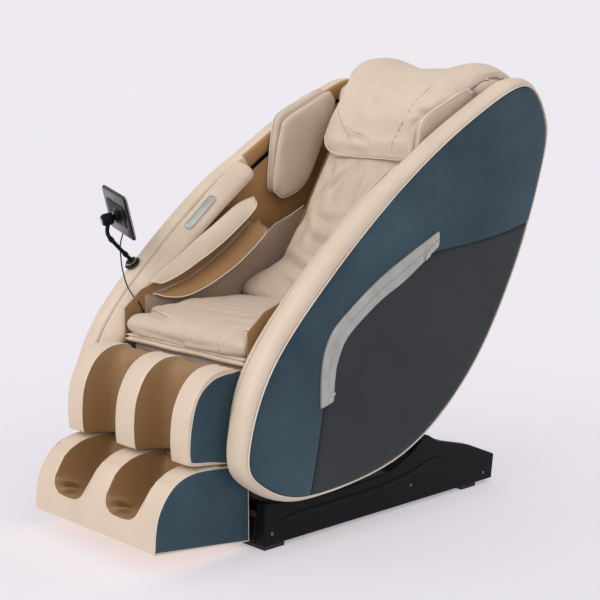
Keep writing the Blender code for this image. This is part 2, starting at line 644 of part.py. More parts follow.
# ------------------------------------------------------------------ tablet
def make_tablet():
    """Tablet remote in a clamp, on a curved neck screwed to the right rim."""
    face = (TABLET_FACE - TABLET_ALONG * TABLET_FACE.dot(TABLET_ALONG)).normalized()
    top = TABLET_ALONG.cross(face)
    turn = Matrix((-TABLET_ALONG, top, face)).transposed().to_4x4()
    middle = TABLET_BALL + face * 0.030 + top * 0.010
    place_turned = Matrix.Translation(middle) @ turn
    width, height, depth = TABLET_SIZE
    screen = block((-width / 2, -height / 2, -depth / 2), (width / 2, height / 2, depth / 2))
    screen.data.transform(place_turned)
    carrier("tablet", TABLET_BALL, "pod")
    place(rounded(screen, 0.003), "tablet", "black", "tablet")
    clamp = block((-0.022, -0.022, -0.0115), (0.022, 0.022, -depth / 2 - GAP))
    clamp.data.transform(place_turned)
    join(clamp, rod(TABLET_BALL + face * (BALL_R + 0.0008), TABLET_BALL + face * 0.021,
                    0.009, 20))
    place(clamp, "tablet_clamp", "black", "tablet")
    bend = smooth_path([TABLET_FOOT + Vector((0, -0.002, 0.008)),
                        TABLET_FOOT + Vector((-0.002, -0.020, 0.026)),
                        TABLET_FOOT + Vector((-0.006, -0.050, 0.056)),
                        TABLET_BALL + Vector((0, -0.006, -0.040)),
                        TABLET_BALL], 3)
    neck = as_mesh(tube(bend, 0.0055))
    out = Vector((0.0, -0.62, 0.78))
    join(neck, rod(TABLET_FOOT + out * 0.0015, TABLET_FOOT + out * 0.016, 0.022, 24,
                   end_radius=0.015))
    ball = bmesh.new()
    bmesh.ops.create_uvsphere(ball, u_segments=16, v_segments=10, radius=BALL_R)
    bmesh.ops.translate(ball, vec=TABLET_BALL, verts=ball.verts)
    join(neck, from_bmesh(ball, "ball"))
    place(neck, "tablet_neck", "black", "pod")


def make_cable():
    route = smooth_path(CABLE_ROUTE, 4)
    place(tube(route, CABLE_R), "tablet_cable", "black", "pod")
    into = (route[-1] - route[-2]).normalized()
    start = route[-1] + into * 0.0003
    gland = rod(start, start + into * GLAND_LENGTH, 0.0036, 16, end_radius=0.0044)
    place(gland, "cable_gland", "rubber", "pod")


def centre_on_floor():
    """Move the whole chair so that its box is centred over the origin."""
    bpy.context.view_layer.update()
    graph = bpy.context.evaluated_depsgraph_get()
    low, high = Vector((9, 9, 9)), Vector((-9, -9, -9))
    for obj in PARTS.objects:
        if obj.type != "MESH":             # the bent tubes lie inside, and the cable is free
            continue
        for vert in obj.evaluated_get(graph).data.vertices:
            spot = obj.matrix_world @ vert.co
            low = Vector(map(min, low, spot))
            high = Vector(map(max, high, spot))
    shift = -(low + high) / 2
    ORIGIN.location = (shift.x, shift.y, -low.z)


carrier("sled", (0.0, 0.0, SLED_PLATE_Z[0]))
carrier("pod", (0.0, *PIVOT), "sled")
carrier("legrest", (0.0, *KNEE), "pod")
carrier("footrest", (0.0, *FOOT_RAIL), "legrest")
make_base()
make_sled()
make_actuator("recline", RECLINE_FOOT, RECLINE_HEAD, "sled")
make_actuator("legrest", LEG_FOOT, LEG_HEAD, "pod")
for SIDE, SUFFIX in both_sides():
    make_shell(SIDE, SUFFIX)
    make_airbags(SIDE, SUFFIX)
make_frames()
make_pads()
make_mechanism()
make_legrest()
make_tablet()
make_cable()
centre_on_floor()
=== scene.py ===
"""Looks of the massage chair: shells, cushions, leg rest, tablet and base.

Metres, +Z up, the sitter faces -Y.  Points below are given in the chair's own middle
frame; ORIGIN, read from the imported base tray, moves them into the shared frame.
"""
import math

import bmesh
import bpy
import numpy as np
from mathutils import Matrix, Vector, noise


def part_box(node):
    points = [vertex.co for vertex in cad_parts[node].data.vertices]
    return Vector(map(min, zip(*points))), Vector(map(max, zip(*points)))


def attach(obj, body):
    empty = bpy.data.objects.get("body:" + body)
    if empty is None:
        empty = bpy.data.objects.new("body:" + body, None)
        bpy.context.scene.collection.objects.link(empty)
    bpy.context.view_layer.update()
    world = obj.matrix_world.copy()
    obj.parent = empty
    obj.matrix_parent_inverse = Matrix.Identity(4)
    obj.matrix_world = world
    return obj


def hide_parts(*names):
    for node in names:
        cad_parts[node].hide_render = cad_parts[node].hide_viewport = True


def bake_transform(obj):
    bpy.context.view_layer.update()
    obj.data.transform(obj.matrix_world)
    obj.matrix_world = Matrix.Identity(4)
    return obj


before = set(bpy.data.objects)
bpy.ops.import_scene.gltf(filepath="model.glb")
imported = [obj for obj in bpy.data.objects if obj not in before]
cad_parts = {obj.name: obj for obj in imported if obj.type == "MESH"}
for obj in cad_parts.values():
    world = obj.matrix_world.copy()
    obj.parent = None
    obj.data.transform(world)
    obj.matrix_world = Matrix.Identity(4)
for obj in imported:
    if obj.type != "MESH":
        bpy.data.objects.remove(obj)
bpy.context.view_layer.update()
TRAY_LOW, TRAY_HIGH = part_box("base_tray")
ORIGIN = Vector(((TRAY_LOW.x + TRAY_HIGH.x) / 2, TRAY_LOW.y + 0.330, 0.0))

# ------------------------------------------------------------------ driving dimensions
SHELL_X = 0.370              # outer face of a side shell
WALL_X = 0.3005              # inner face of a side shell
ARM_X = 0.2520               # inner face of an armrest
WALL_BACK = 0.2535           # outer, inner and padded faces of an armrest's inner wall
WALL_EDGE = 0.2503
WALL_FACE = 0.2495
AIRBAG_BACK = 0.2488         # x where an arm airbag meets the wall
BACK_FOOT = Vector((0.0, 0.093, 0.500))          # lower end of the back pad's face
BACK_UP = Vector((0.0, 0.5023, 0.8647))
BACK_OUT = Vector((0.0, -0.8647, 0.5023))
SIDES = ((1.0, "left"), (-1.0, "right"))

SEAM = [(-0.452, 0.293), (-0.373, 0.482), (-0.169, 0.691), (0.090, 0.898), (0.348, 1.054),
        (0.560, 1.138), (0.652, 1.065), (0.655, 0.940), (0.534, 0.640), (0.342, 0.362),
        (0.082, 0.184), (-0.252, 0.138), (-0.420, 0.201)]
SEAM_STEPS = 8
RIM_SECTION = [(0.3670, -0.002), (0.3675, 0.006), (0.3650, 0.017), (0.3570, 0.028),
               (0.3470, 0.034), (0.3340, 0.0365), (0.3200, 0.0350), (0.3090, 0.0315),
               (0.3025, 0.0280), (WALL_X, 0.0180), (WALL_X, -0.030), (0.3200, -0.034),
               (0.3450, -0.034), (0.3480, -0.010)]
RIM_GROW = [(0, 1.0), (21, 1.0), (26, 0.52), (34, 0.46), (40, 0.62), (45, 0.50), (80, 0.55),
            (92, 1.0), (104, 1.0)]
RIM_TAN = (25, 44)           # seam stations where the lining reaches up to the crest
ARM_SECTION = [(0.2995, 0.0280), (0.2930, 0.0240), (0.2800, 0.0140), (0.2680, 0.0035),
               (0.2575, -0.0085), (0.2530, -0.0160), (ARM_X, -0.0250), (0.2540, -0.0340),
               (0.2800, -0.0355), (0.2990, -0.0350)]
# Inner wall of an armrest: a padded cream panel below the airbags, painted darker as painted
# shade, and a lining above and ahead.
ARM_WALL_LOW = [(-0.290, 0.573), (-0.285, 0.400), (0.320, 0.400), (0.3057, 0.782),
                (0.256, 0.759), (0.208, 0.7405), (0.171, 0.721), (0.124, 0.745),
                (0.086, 0.749), (0.055, 0.724), (0.004, 0.686), (-0.066, 0.644),
                (-0.139, 0.609), (-0.210, 0.590), (-0.270, 0.578)]
ARM_WALL_HIGH = [(-0.270, 0.5782), (-0.210, 0.5902), (-0.139, 0.6092), (-0.066, 0.6442),
                 (0.004, 0.6862), (0.055, 0.7242), (0.086, 0.7492), (0.124, 0.7452),
                 (0.105, 0.815), (0.090, 0.815), (-0.020, 0.760), (-0.180, 0.630),
                 (-0.300, 0.590), (-0.355, 0.545), (-0.355, 0.400), (-0.2853, 0.400),
                 (-0.2903, 0.5732)]
PANEL_SPLIT = [(0.600, 0.759), (0.463, 0.732), (0.330, 0.716), (0.203, 0.706),
               (0.080, 0.672), (-0.025, 0.625), (-0.120, 0.562), (-0.172, 0.505),
               (-0.196, 0.440), (-0.208, 0.350), (-0.226, 0.250), (-0.246, 0.160)]
SPLIT_REAR = Vector((0.606, 0.765))              # where the split meets the seam
SPLIT_LOW = Vector((-0.252, 0.140))
TRIM_OUTER = [(0.204, 0.762), (0.079, 0.707), (-0.025, 0.656), (-0.129, 0.589),
              (-0.183, 0.546), (-0.211, 0.498), (-0.223, 0.440), (-0.225, 0.356)]
TRIM_INNER = [(0.203, 0.720), (0.080, 0.645), (-0.010, 0.603), (-0.094, 0.551),
              (-0.140, 0.512), (-0.166, 0.462), (-0.175, 0.420), (-0.179, 0.369)]
CABLE_R = 0.0018
CABLE_ROUTE = [(-0.3455, -0.2888, 0.7350), (-0.3430, -0.2950, 0.7220),
               (-0.3340, -0.3060, 0.7080), (-0.3215, -0.3150, 0.6870),
               (-0.3060, -0.3220, 0.6475), (-0.2850, -0.3225, 0.6020),
               (-0.2640, -0.3175, 0.5740), (-0.2450, -0.3090, 0.5520),
               (-0.2425, -0.3035, 0.5405), (-0.2432, -0.3000, 0.5330)]
PAPER = (0.855, 0.823, 0.871)    # the pale backdrop as the camera sees it
FLOOR_GLOW = 0.41            # share of the backdrop that the floor emits itself
SKY = (0.52, 0.515, 0.53)


# ------------------------------------------------------------------ curves and outlines
def smooth(points, steps, closed=False):
    """A Catmull-Rom curve through the points, of any dimension."""
    pts = [Vector(p) for p in points]
    count = len(pts)
    if closed:
        pts = [pts[-1]] + pts + pts[:2]
    else:
        pts = [2 * pts[0] - pts[1]] + pts + [2 * pts[-1] - pts[-2]]
    path = []
    for i in range(1, len(pts) - 2):
        a, b, c, d = pts[i - 1:i + 3]
        for s in range(steps):
            t = s / steps
            path.append(0.5 * (2 * b + (c - a) * t + (2 * a - 5 * b + 4 * c - d) * t * t
                               + (3 * b - a - 3 * c + d) * t ** 3))
    return path[:count * steps] if closed else path + [pts[-2]]


def resample(path, count):
    """The same open path with evenly spaced points."""
    ends = [0.0]
    for a, b in zip(path, path[1:]):
        ends.append(ends[-1] + (b - a).length)
    found, k = [], 0
    for i in range(count):
        goal = ends[-1] * i / (count - 1)
        while k < len(path) - 2 and ends[k + 1] < goal:
            k += 1
        share = (goal - ends[k]) / max(ends[k + 1] - ends[k], 1e-9)
        found.append(path[k].lerp(path[k + 1], min(1.0, share)))
    return found


def normals(loop):
    """The outward normal at each point of a closed outline."""
    area = sum(a[0] * b[1] - b[0] * a[1] for a, b in zip(loop, loop[1:] + loop[:1]))
    sign = 1.0 if area > 0 else -1.0
    out = []
    for i in range(len(loop)):
        run = loop[(i + 1) % len(loop)] - loop[i - 1]
        out.append(Vector((run.y, -run.x)).normalized() * sign)
    return out


def centre(points):
    """The mean of (y, z) points."""
    points = list(points)
    return sum(points, Vector((0.0, 0.0))) / len(points)


def ease(t):
    t = min(1.0, max(0.0, t))
    return t * t * (3 - 2 * t)


def blend_list(stops, t):
    """The value at t of a piecewise smooth curve through (t, value) stops."""
    for (t0, v0), (t1, v1) in zip(stops, stops[1:]):
        if t <= t1:
            return v0 + (v1 - v0) * ease((t - t0) / (t1 - t0))
    return stops[-1][1]


# ------------------------------------------------------------------ materials
class Look:
    """A small builder for a procedural Principled material."""

    def __init__(self, name, rough, metal=0.0, coat=0.0, sheen=0.0, specular=0.5):
        self.mat = bpy.data.materials.new(name)
        self.mat.use_nodes = True
        self.tree = self.mat.node_tree
        self.shader = self.tree.nodes["Principled BSDF"]
        self.shader.inputs["Roughness"].default_value = rough
        self.shader.inputs["Metallic"].default_value = metal
        self.shader.inputs["Coat Weight"].default_value = coat
        self.shader.inputs["Coat Roughness"].default_value = 0.30
        self.shader.inputs["Sheen Weight"].default_value = sheen
        self.shader.inputs["Specular IOR Level"].default_value = specular
        self.place = self.tree.nodes.new("ShaderNodeTexCoord").outputs["Object"]

    def node(self, kind, **inputs):
        made = self.tree.nodes.new(kind)
        for key, value in inputs.items():
            socket = made.inputs[key.replace("_", " ")]
            if isinstance(value, bpy.types.NodeSocket):
                self.tree.links.new(value, socket)
            else:
                socket.default_value = value
        return made

    def noise(self, scale, detail=3.0, rough=0.55):
        return self.node("ShaderNodeTexNoise", Vector=self.place, Scale=scale,
                         Detail=detail, Roughness=rough).outputs["Fac"]

    def ramp(self, value, stops):
        made = self.node("ShaderNodeValToRGB", Fac=value)
        ramp = made.color_ramp
        while len(ramp.elements) < len(stops):
            ramp.elements.new(0.5)
        for element, (at, colour) in zip(ramp.elements, stops):
            element.position = at
            element.color = (*colour, 1.0)
        return made.outputs["Color"]

    def mix(self, kind, factor, a, b):
        made = self.tree.nodes.new("ShaderNodeMix")
        made.data_type = "RGBA"
        made.blend_type = kind
        self.link(factor, made.inputs[0])
        self.link(a, made.inputs[6])
        self.link(b, made.inputs[7])
        return made.outputs[2]

    def link(self, value, socket):
        if isinstance(value, bpy.types.NodeSocket):
            self.tree.links.new(value, socket)
        elif isinstance(value, tuple):
            socket.default_value = (*value, 1.0)
        else:
            socket.default_value = value

    def colour(self, value):
        self.link(value, self.shader.inputs["Base Color"])

    def rough(self, value, low, high):
        made = self.node("ShaderNodeMapRange", Value=value, To_Min=low, To_Max=high)
        self.link(made.outputs[0], self.shader.inputs["Roughness"])

    def bump(self, layers):
        """Stacked bumps: (height, strength, distance)."""
        below = None
        for height, strength, distance in layers:
            made = self.node("ShaderNodeBump", Height=height, Strength=strength,
                             Distance=distance)
            if below is not None:
                self.tree.links.new(below, made.inputs["Normal"])
            below = made.outputs["Normal"]
        self.tree.links.new(below, self.shader.inputs["Normal"])


def shade(colour, factor):
    return tuple(min(1.0, c * factor) for c in colour)


def leather(name, colour, rough=0.46, grain=620.0, crease=0.35):
    """Soft synthetic leather: pebbled grain, faint creases, slight mottling."""
    look = Look(name, rough, sheen=0.15, coat=0.06)
    broad = look.noise(9.0, 4.0)
    fine = look.noise(140.0, 3.0)
    tone = look.ramp(broad, [(0.30, shade(colour, 0.93)), (0.55, colour),
                             (0.75, shade(colour, 1.05))])
    speck = look.ramp(fine, [(0.35, (0.93, 0.92, 0.91)), (0.60, (1.0, 1.0, 1.0))])
    look.colour(look.mix("MULTIPLY", 0.6, tone, speck))
    cells = look.node("ShaderNodeTexVoronoi", Vector=look.place, Scale=grain)
    wide = look.node("ShaderNodeTexNoise", Vector=look.place, Scale=34.0, Detail=5.0,
                     Roughness=0.62, Distortion=0.6)
    look.rough(look.noise(55.0, 4.0), rough - 0.07, rough + 0.09)
    look.bump([(wide.outputs["Fac"], crease, 0.0016),
               (cells.outputs["Distance"], 0.22, 0.0005)])
    return look.mat


def cloth_vinyl(name, colour, light):
    """Heathered, finely grained covering of the outer shell."""
    rough = 0.62
    look = Look(name, rough, sheen=0.10, specular=0.28)
    cloudy = look.noise(3.4, 4.0)
    heather = look.noise(230.0, 4.0, 0.75)
    thread = look.noise(900.0, 2.0, 0.6)
    tone = look.ramp(cloudy, [(0.32, colour), (0.72, light)])
    fleck = look.ramp(heather, [(0.36, (0.72, 0.74, 0.76)), (0.50, (1.0, 1.0, 1.0)),
                                (0.64, (1.32, 1.30, 1.28))])
    look.colour(look.mix("MULTIPLY", 0.55, tone, fleck))
    look.rough(heather, rough - 0.08, rough + 0.10)
    look.bump([(heather, 0.30, 0.0008), (thread, 0.35, 0.0004)])
    return look.mat


def moulded(name, colour, rough, texture=0.12, scale=1400.0, metal=0.0, coat=0.0, scuff=0.06,
            specular=0.5):
    """Moulded plastic, rubber or coated metal: fine texture and light handling marks."""
    look = Look(name, rough, metal=metal, coat=coat, specular=specular)
    marks = look.noise(18.0, 6.0, 0.7)
    tone = look.ramp(marks, [(0.35, shade(colour, 0.88)), (0.65, shade(colour, 1.10))])
    look.colour(tone)
    look.rough(look.noise(42.0, 5.0, 0.65), max(0.05, rough - scuff), rough + scuff)
    look.bump([(look.noise(scale, 2.0), texture, 0.0003)])
    return look.mat


CREAM = (0.690, 0.555, 0.430)
TAN = (0.400, 0.215, 0.078)
LOOKS = {
    "cream": leather("cream_leather", CREAM),
    "cream_soft": leather("cream_soft_leather", shade(CREAM, 0.97), 0.50, 560.0, 0.75),
    # cream darkened for the seat, back, shoulder pads and pillow strap: painted shade inside the
    # chair
    "pad": leather("cream_shaded_leather", (0.600, 0.480, 0.375), 0.50, 560.0, 0.85),
    "tan": leather("tan_leather", TAN, 0.50, 600.0, 0.5),
    # a darker copy of the tan: painted shade in the calf channels, the foot wells, the arm wall
    # lining and under the lower arm airbags
    "tan_shaded": leather("tan_shaded_leather", shade(TAN, 0.72), 0.55, 600.0, 0.6),
    # cream darkened to taupe for the arm wall's lower panel: painted shade inside the arm
    "taupe": leather("taupe_leather", (0.420, 0.335, 0.260), 0.52, 560.0, 0.5),
    # piping in a lighter cream: the piped edges are real, their lighter tone is a painted
    # highlight along the rolled edges
    "piping": leather("lit_piping_leather", (0.80, 0.70, 0.58), 0.40, 900.0, 0.1),
    "stitch": moulded("stitch_thread", (0.30, 0.22, 0.15), 0.8, 0.6, 2600.0),
    "blue": cloth_vinyl("blue_panel_cover", (0.015, 0.040, 0.059), (0.042, 0.088, 0.116)),
    "grey": cloth_vinyl("grey_panel_cover", (0.020, 0.024, 0.028), (0.030, 0.035, 0.039)),
    "black": moulded("black_plastic", (0.0045, 0.0050, 0.0065), 0.45, 0.25, 1100.0,
                     specular=0.12),
    "gloss": moulded("gloss_black_plastic", (0.006, 0.006, 0.007), 0.20, 0.05, 700.0,
                     coat=0.05, specular=0.16),
    "glass": moulded("screen_glass", (0.003, 0.004, 0.006), 0.30, 0.01, 200.0, coat=0.0,
                     scuff=0.02, specular=0.06),
    "rubber": moulded("black_rubber", (0.018, 0.018, 0.018), 0.80, 0.5, 900.0),
    "silver": moulded("silver_trim", (0.430, 0.430, 0.395), 0.34, 0.06, 1500.0, metal=0.35,
                      coat=0.2),
    "chrome": moulded("bright_edge", (0.46, 0.46, 0.43), 0.24, 0.02, 900.0, metal=0.9),
    "steel": moulded("painted_steel", (0.16, 0.165, 0.17), 0.45, 0.15, 900.0, metal=0.2),
    "bright_steel": moulded("ground_steel", (0.50, 0.50, 0.51), 0.28, 0.05, 800.0, metal=1.0),
    "mesh": moulded("black_backing", (0.022, 0.023, 0.026), 0.75, 0.5, 1600.0),
}
NODE_LOOKS = {
    "bright_steel": ("pivot_shaft", "legrest_shaft", "recline_rod", "legrest_rod",
                     "foot_rail_left", "foot_rail_right"),
    "steel": ("base_tray", "sled_frame", "seat_frame", "back_frame"),
    "rubber": ("transport_wheel_left", "transport_wheel_right", "front_foot", "rear_foot",
               "cable_gland", "kneading_rollers_low", "kneading_rollers_high",
               "foot_roller_left", "foot_roller_right"),
    "black": ("base_cover_left", "base_cover_right", "base_front_cover", "base_rear_deck",
              "air_pump", "control_box", "recline_actuator", "legrest_actuator",
              "massage_carriage"),
    "gloss": ("tablet", "tablet_clamp", "tablet_neck", "power_switch"),
    "tan": ("side_lining_left", "side_lining_right", "back_lining"),
    # the CAD arm walls take the same painted shade
    "taupe": ("arm_wall_left", "arm_wall_right"),
    "mesh": ("back_cover",),
}


# ------------------------------------------------------------------ building pieces
def finish_piece(obj, name, body, looks, replaces=(), sharp=50.0):
    """Name, finish, shade and ride one visual piece."""
    obj.name = name
    obj.data.name = name
    paint = [face.material_index for face in obj.data.polygons]
    obj.data.materials.clear()
    for look in looks:
        obj.data.materials.append(LOOKS[look])
    obj.data.polygons.foreach_set("material_index", paint)
    if obj.type == "MESH":
        obj.data.shade_smooth()
        obj.data.set_sharp_from_angle(angle=math.radians(sharp))
    if body:
        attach(obj, body)
    if replaces:
        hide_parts(*replaces)
    return obj


def object_of(bm):
    """A mesh object in the shared frame from a bmesh in the chair's middle frame."""
    bmesh.ops.recalc_face_normals(bm, faces=bm.faces)
    if bm.calc_volume(signed=True) < 0:
        bmesh.ops.reverse_faces(bm, faces=bm.faces)
    bmesh.ops.translate(bm, vec=ORIGIN, verts=bm.verts)
    mesh = bpy.data.meshes.new("piece")
    bm.to_mesh(mesh)
    bm.free()
    for look in ("cream", "tan"):
        mesh.materials.append(LOOKS[look])
    obj = bpy.data.objects.new("piece", mesh)
    bpy.context.scene.collection.objects.link(obj)
    return obj


def skin(rows, around=False, along=False, caps=False, paint=None):
    """A surface through equal rows of points; around closes each row, along the rows."""
    bm = bmesh.new()
    verts = [[bm.verts.new(p) for p in row] for row in rows]
    count = len(rows[0])
    for i in range(len(rows) if along else len(rows) - 1):
        here, there = verts[i], verts[(i + 1) % len(rows)]
        for k in range(count if around else count - 1):
            nxt = (k + 1) % count
            face = bm.faces.new((here[k], here[nxt], there[nxt], there[k]))
            if paint:
                face.material_index = paint(i, k)
    if caps:
        for ring in (verts[0], verts[-1]):
            face = bm.faces.new(ring)
            if paint:
                face.material_index = paint(0, 0)
    return bm


def solid(rows):
    """A closed piece through equal rings of points, capped at both ends."""
    return object_of(skin(rows, around=True, caps=True))


def close_back(bm):
    """Fill every open edge loop, so that the piece is one closed body."""
    edges = [edge for edge in bm.edges if edge.is_boundary]
    for face in bmesh.ops.holes_fill(bm, edges=edges, sides=0)["faces"]:
        face.material_index = 0


def tube(points, radius, closed=False, sides=8):
    """A round tube mesh along points in the chair's middle frame."""
    rows = []
    count = len(points)
    up = Vector((0.13, 0.21, 0.97)).normalized()
    for i, p in enumerate(points):
        if closed:
            run = points[(i + 1) % count] - points[i - 1]
        else:
            run = points[min(i + 1, count - 1)] - points[max(i - 1, 0)]
        run.normalize()
        across = run.cross(up).normalized()
        up = across.cross(run).normalized()
        rows.append([p + across * (radius * math.cos(a)) + up * (radius * math.sin(a))
                     for a in (2 * math.pi * k / sides for k in range(sides))])
    return skin(rows, around=True, along=closed, caps=not closed)


def add_modifier(obj, kind, **settings):
    made = obj.modifiers.new(kind.lower(), kind)
    for key, value in settings.items():
        setattr(made, key, value)
    return made


def apply_modifiers(obj):
    """Replace the mesh by its evaluated shape."""
    bpy.context.view_layer.update()
    graph = bpy.context.evaluated_depsgraph_get()
    mesh = bpy.data.meshes.new_from_object(obj.evaluated_get(graph))
    old = obj.data
    obj.modifiers.clear()
    obj.data = mesh
    bpy.data.meshes.remove(old)


def subdivide(obj, levels=1):
    add_modifier(obj, "SUBSURF", levels=levels, render_levels=levels)
    apply_modifiers(obj)


def coords(obj):
    flat = np.zeros(len(obj.data.vertices) * 3, np.float32)
    obj.data.vertices.foreach_get("co", flat)
    return flat.reshape(-1, 3).astype(float)


def set_coords(obj, points):
    obj.data.vertices.foreach_set("co", points.astype(np.float32).ravel())
    obj.data.update()


def vertex_normals(obj):
    flat = np.zeros(len(obj.data.vertices) * 3, np.float32)
    obj.data.vertices.foreach_get("normal", flat)
    return flat.reshape(-1, 3).astype(float)


PUFF_FRAMES = 20             # steps of cloth simulation that inflate a cushion


def puff(obj, voxel, pressure, cap):
    """Inflate a closed form as stuffed cloth, limit its swelling, and smooth it."""
    add_modifier(obj, "REMESH", mode="VOXEL", voxel_size=voxel)
    apply_modifiers(obj)
    rest = coords(obj)
    cloth = add_modifier(obj, "CLOTH")
    cloth.settings.use_pressure = True
    cloth.settings.uniform_pressure_force = pressure
    cloth.settings.effector_weights.gravity = 0.0
    cloth.settings.tension_stiffness = 12.0
    cloth.settings.compression_stiffness = 12.0
    cloth.settings.bending_stiffness = 0.4
    cloth.point_cache.frame_start = 1
    cloth.point_cache.frame_end = PUFF_FRAMES
    for step in range(1, PUFF_FRAMES + 1):
        bpy.context.scene.frame_set(step)
    apply_modifiers(obj)
    moved = coords(obj) - rest
    size = np.linalg.norm(moved, axis=1, keepdims=True)
    moved *= np.minimum(1.0, cap / np.maximum(size, 1e-9))
    set_coords(obj, rest + moved)
    bpy.context.scene.frame_set(1)
    add_modifier(obj, "SMOOTH", factor=0.5, iterations=2)
    apply_modifiers(obj)
    subdivide(obj)


def near_path(points, path):
    """Distance of each point from a polyline, and its share of the way along it."""
    best = np.full(len(points), 9.0)
    share = np.zeros(len(points))
    path = [np.array(p) for p in path]
    lengths = [np.linalg.norm(b - a) for a, b in zip(path, path[1:])]
    total, done = sum(lengths), 0.0
    for a, b, size in zip(path, path[1:], lengths):
        t = np.clip((points - a) @ (b - a) / max(size * size, 1e-12), 0, 1)
        gap = np.linalg.norm(points - (a + t[:, None] * (b - a)), axis=1)
        closer = gap < best
        best = np.where(closer, gap, best)
        share = np.where(closer, (done + t * size) / total, share)
        done += size
    return best, share


def fold(obj, path, width, depth, fade=True, ridge=0.5):
    """Press a crease into a soft piece along a path, with a raised lip beside it."""
    points = coords(obj)
    gap, share = near_path(points, [Vector(p) + ORIGIN for p in path])
    strength = np.sin(np.pi * share) ** 0.6 if fade else 1.0
    dip = np.exp(-(gap / width) ** 2) - ridge * np.exp(-((gap - 2.1 * width) / width) ** 2)
    set_coords(obj, points - vertex_normals(obj) * (dip * depth * strength)[:, None])


def ripple(obj, amount, scale, seed=0.0, stretch=(1.0, 1.0, 1.0)):
    """Low, soft unevenness of padded leather."""
    points = coords(obj)
    stretch = np.array(stretch)
    lift = np.array([noise.noise(Vector(p * stretch * scale) + Vector((seed, 3.1, 7.7)))
                     for p in points])
    set_coords(obj, points + vertex_normals(obj) * (lift * amount)[:, None])


def on_surface(obj, path, lift=0.0, count=None):
    """The path's points (middle frame) moved onto a piece's surface."""
    placed = []
    for p in resample([Vector(q) for q in path], count) if count else path:
        spot, normal = obj.closest_point_on_mesh(Vector(p) + ORIGIN)[1:3]
        placed.append(spot + normal * lift - ORIGIN)
    return placed


def piping(name, points, body, radius=0.0022, closed=False, look="piping", sides=8):
    obj = object_of(tube(points, radius, closed, sides))
    return finish_piece(obj, name, body, [look])


def side_point(side, x, flat):
    return Vector((side * x, flat[0], flat[1]))


# ------------------------------------------------------------------ camera, floor, light
CAMERA_AT = Vector((2.723, -2.500, 1.150))
CAMERA_TURN = 46.8           # degrees towards the sitter's left of straight ahead
CAMERA_TIP = 9.1             # degrees down
CAMERA_LENS = 82.0           # mm, on a sensor 36 mm wide


def make_camera():
    data = bpy.data.cameras.new("camera")
    data.lens = CAMERA_LENS
    data.sensor_width = 36.0
    camera = bpy.data.objects.new("camera", data)
    bpy.context.scene.collection.objects.link(camera)
    turn, tip = math.radians(CAMERA_TURN), math.radians(CAMERA_TIP)
    look = Vector((-math.sin(turn) * math.cos(tip), math.cos(turn) * math.cos(tip),
                   -math.sin(tip)))
    camera.location = CAMERA_AT + ORIGIN
    camera.rotation_euler = look.to_track_quat("-Z", "Y").to_euler()
    bpy.context.scene.camera = camera


def make_sun(name, strength, angle, aim, colour=(1.0, 1.0, 1.0)):
    data = bpy.data.lights.new(name, "SUN")
    data.energy = strength
    data.angle = math.radians(angle)
    data.color = colour
    lamp = bpy.data.objects.new(name, data)
    bpy.context.scene.collection.objects.link(lamp)
    lamp.rotation_euler = (-Vector(aim)).to_track_quat("-Z", "Y").to_euler()
    return lamp


def make_studio():
    """Pale seamless floor, even sky and three wide soft suns that spare the floor."""
    bpy.context.scene.view_settings.view_transform = "Standard"
    bm = bmesh.new()
    bmesh.ops.create_circle(bm, cap_ends=True, radius=90.0, segments=96)
    mesh = bpy.data.meshes.new("floor")
    bm.to_mesh(mesh)
    bm.free()
    floor = bpy.data.objects.new("floor", mesh)
    bpy.context.scene.collection.objects.link(floor)
    look = Look("floor_paper", 0.9, specular=0.0)
    look.colour(look.ramp(look.noise(3.0), [(0.3, (0.965, 0.935, 0.975)),
                                            (0.7, (0.972, 0.942, 0.982))]))
    look.shader.inputs["Emission Color"].default_value = (*PAPER, 1.0)
    look.shader.inputs["Emission Strength"].default_value = FLOOR_GLOW
    floor.data.materials.append(look.mat)
    world = bpy.data.worlds.new("studio")
    world.use_nodes = True
    tree = world.node_tree
    back = tree.nodes["Background"]
    back.inputs["Color"].default_value = (*SKY, 1.0)
    seen = tree.nodes.new("ShaderNodeBackground")
    seen.inputs["Color"].default_value = (*PAPER, 1.0)
    path = tree.nodes.new("ShaderNodeLightPath")
    pick = tree.nodes.new("ShaderNodeMixShader")
    tree.links.new(path.outputs["Is Camera Ray"], pick.inputs[0])
    tree.links.new(back.outputs[0], pick.inputs[1])
    tree.links.new(seen.outputs[0], pick.inputs[2])
    tree.links.new(pick.outputs[0], tree.nodes["World Output"].inputs["Surface"])
    bpy.context.scene.world = world
    lamps = [make_sun("key", 1.30, 50.0, (-0.25, -1.0, 0.95), (1.0, 0.985, 0.96)),
             make_sun("fill", 0.50, 60.0, (1.0, -0.45, 0.75), (0.97, 0.98, 1.0)),
             make_sun("top", 0.35, 70.0, (0.0, 0.1, 1.0))]
    unlit = bpy.data.collections.new("floor_left_out")
    unlit.objects.link(floor)
    unlit.collection_objects[0].light_linking.link_state = "EXCLUDE"
    for lamp in lamps:
        lamp.light_linking.receiver_collection = unlit


# ------------------------------------------------------------------ tablet cable
def make_cable():
    """The lead from the armrest's gland to the tablet."""
    route = smooth(CABLE_ROUTE, 6)
    cable = object_of(tube(route, CABLE_R, sides=10))
    finish_piece(cable, "tablet_lead", None, ["black"], ["tablet_cable"])
    world = [p + ORIGIN for p in route]
    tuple(world[len(world) // 2])
    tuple(world[0])
    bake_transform(cable)
    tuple(world[0])


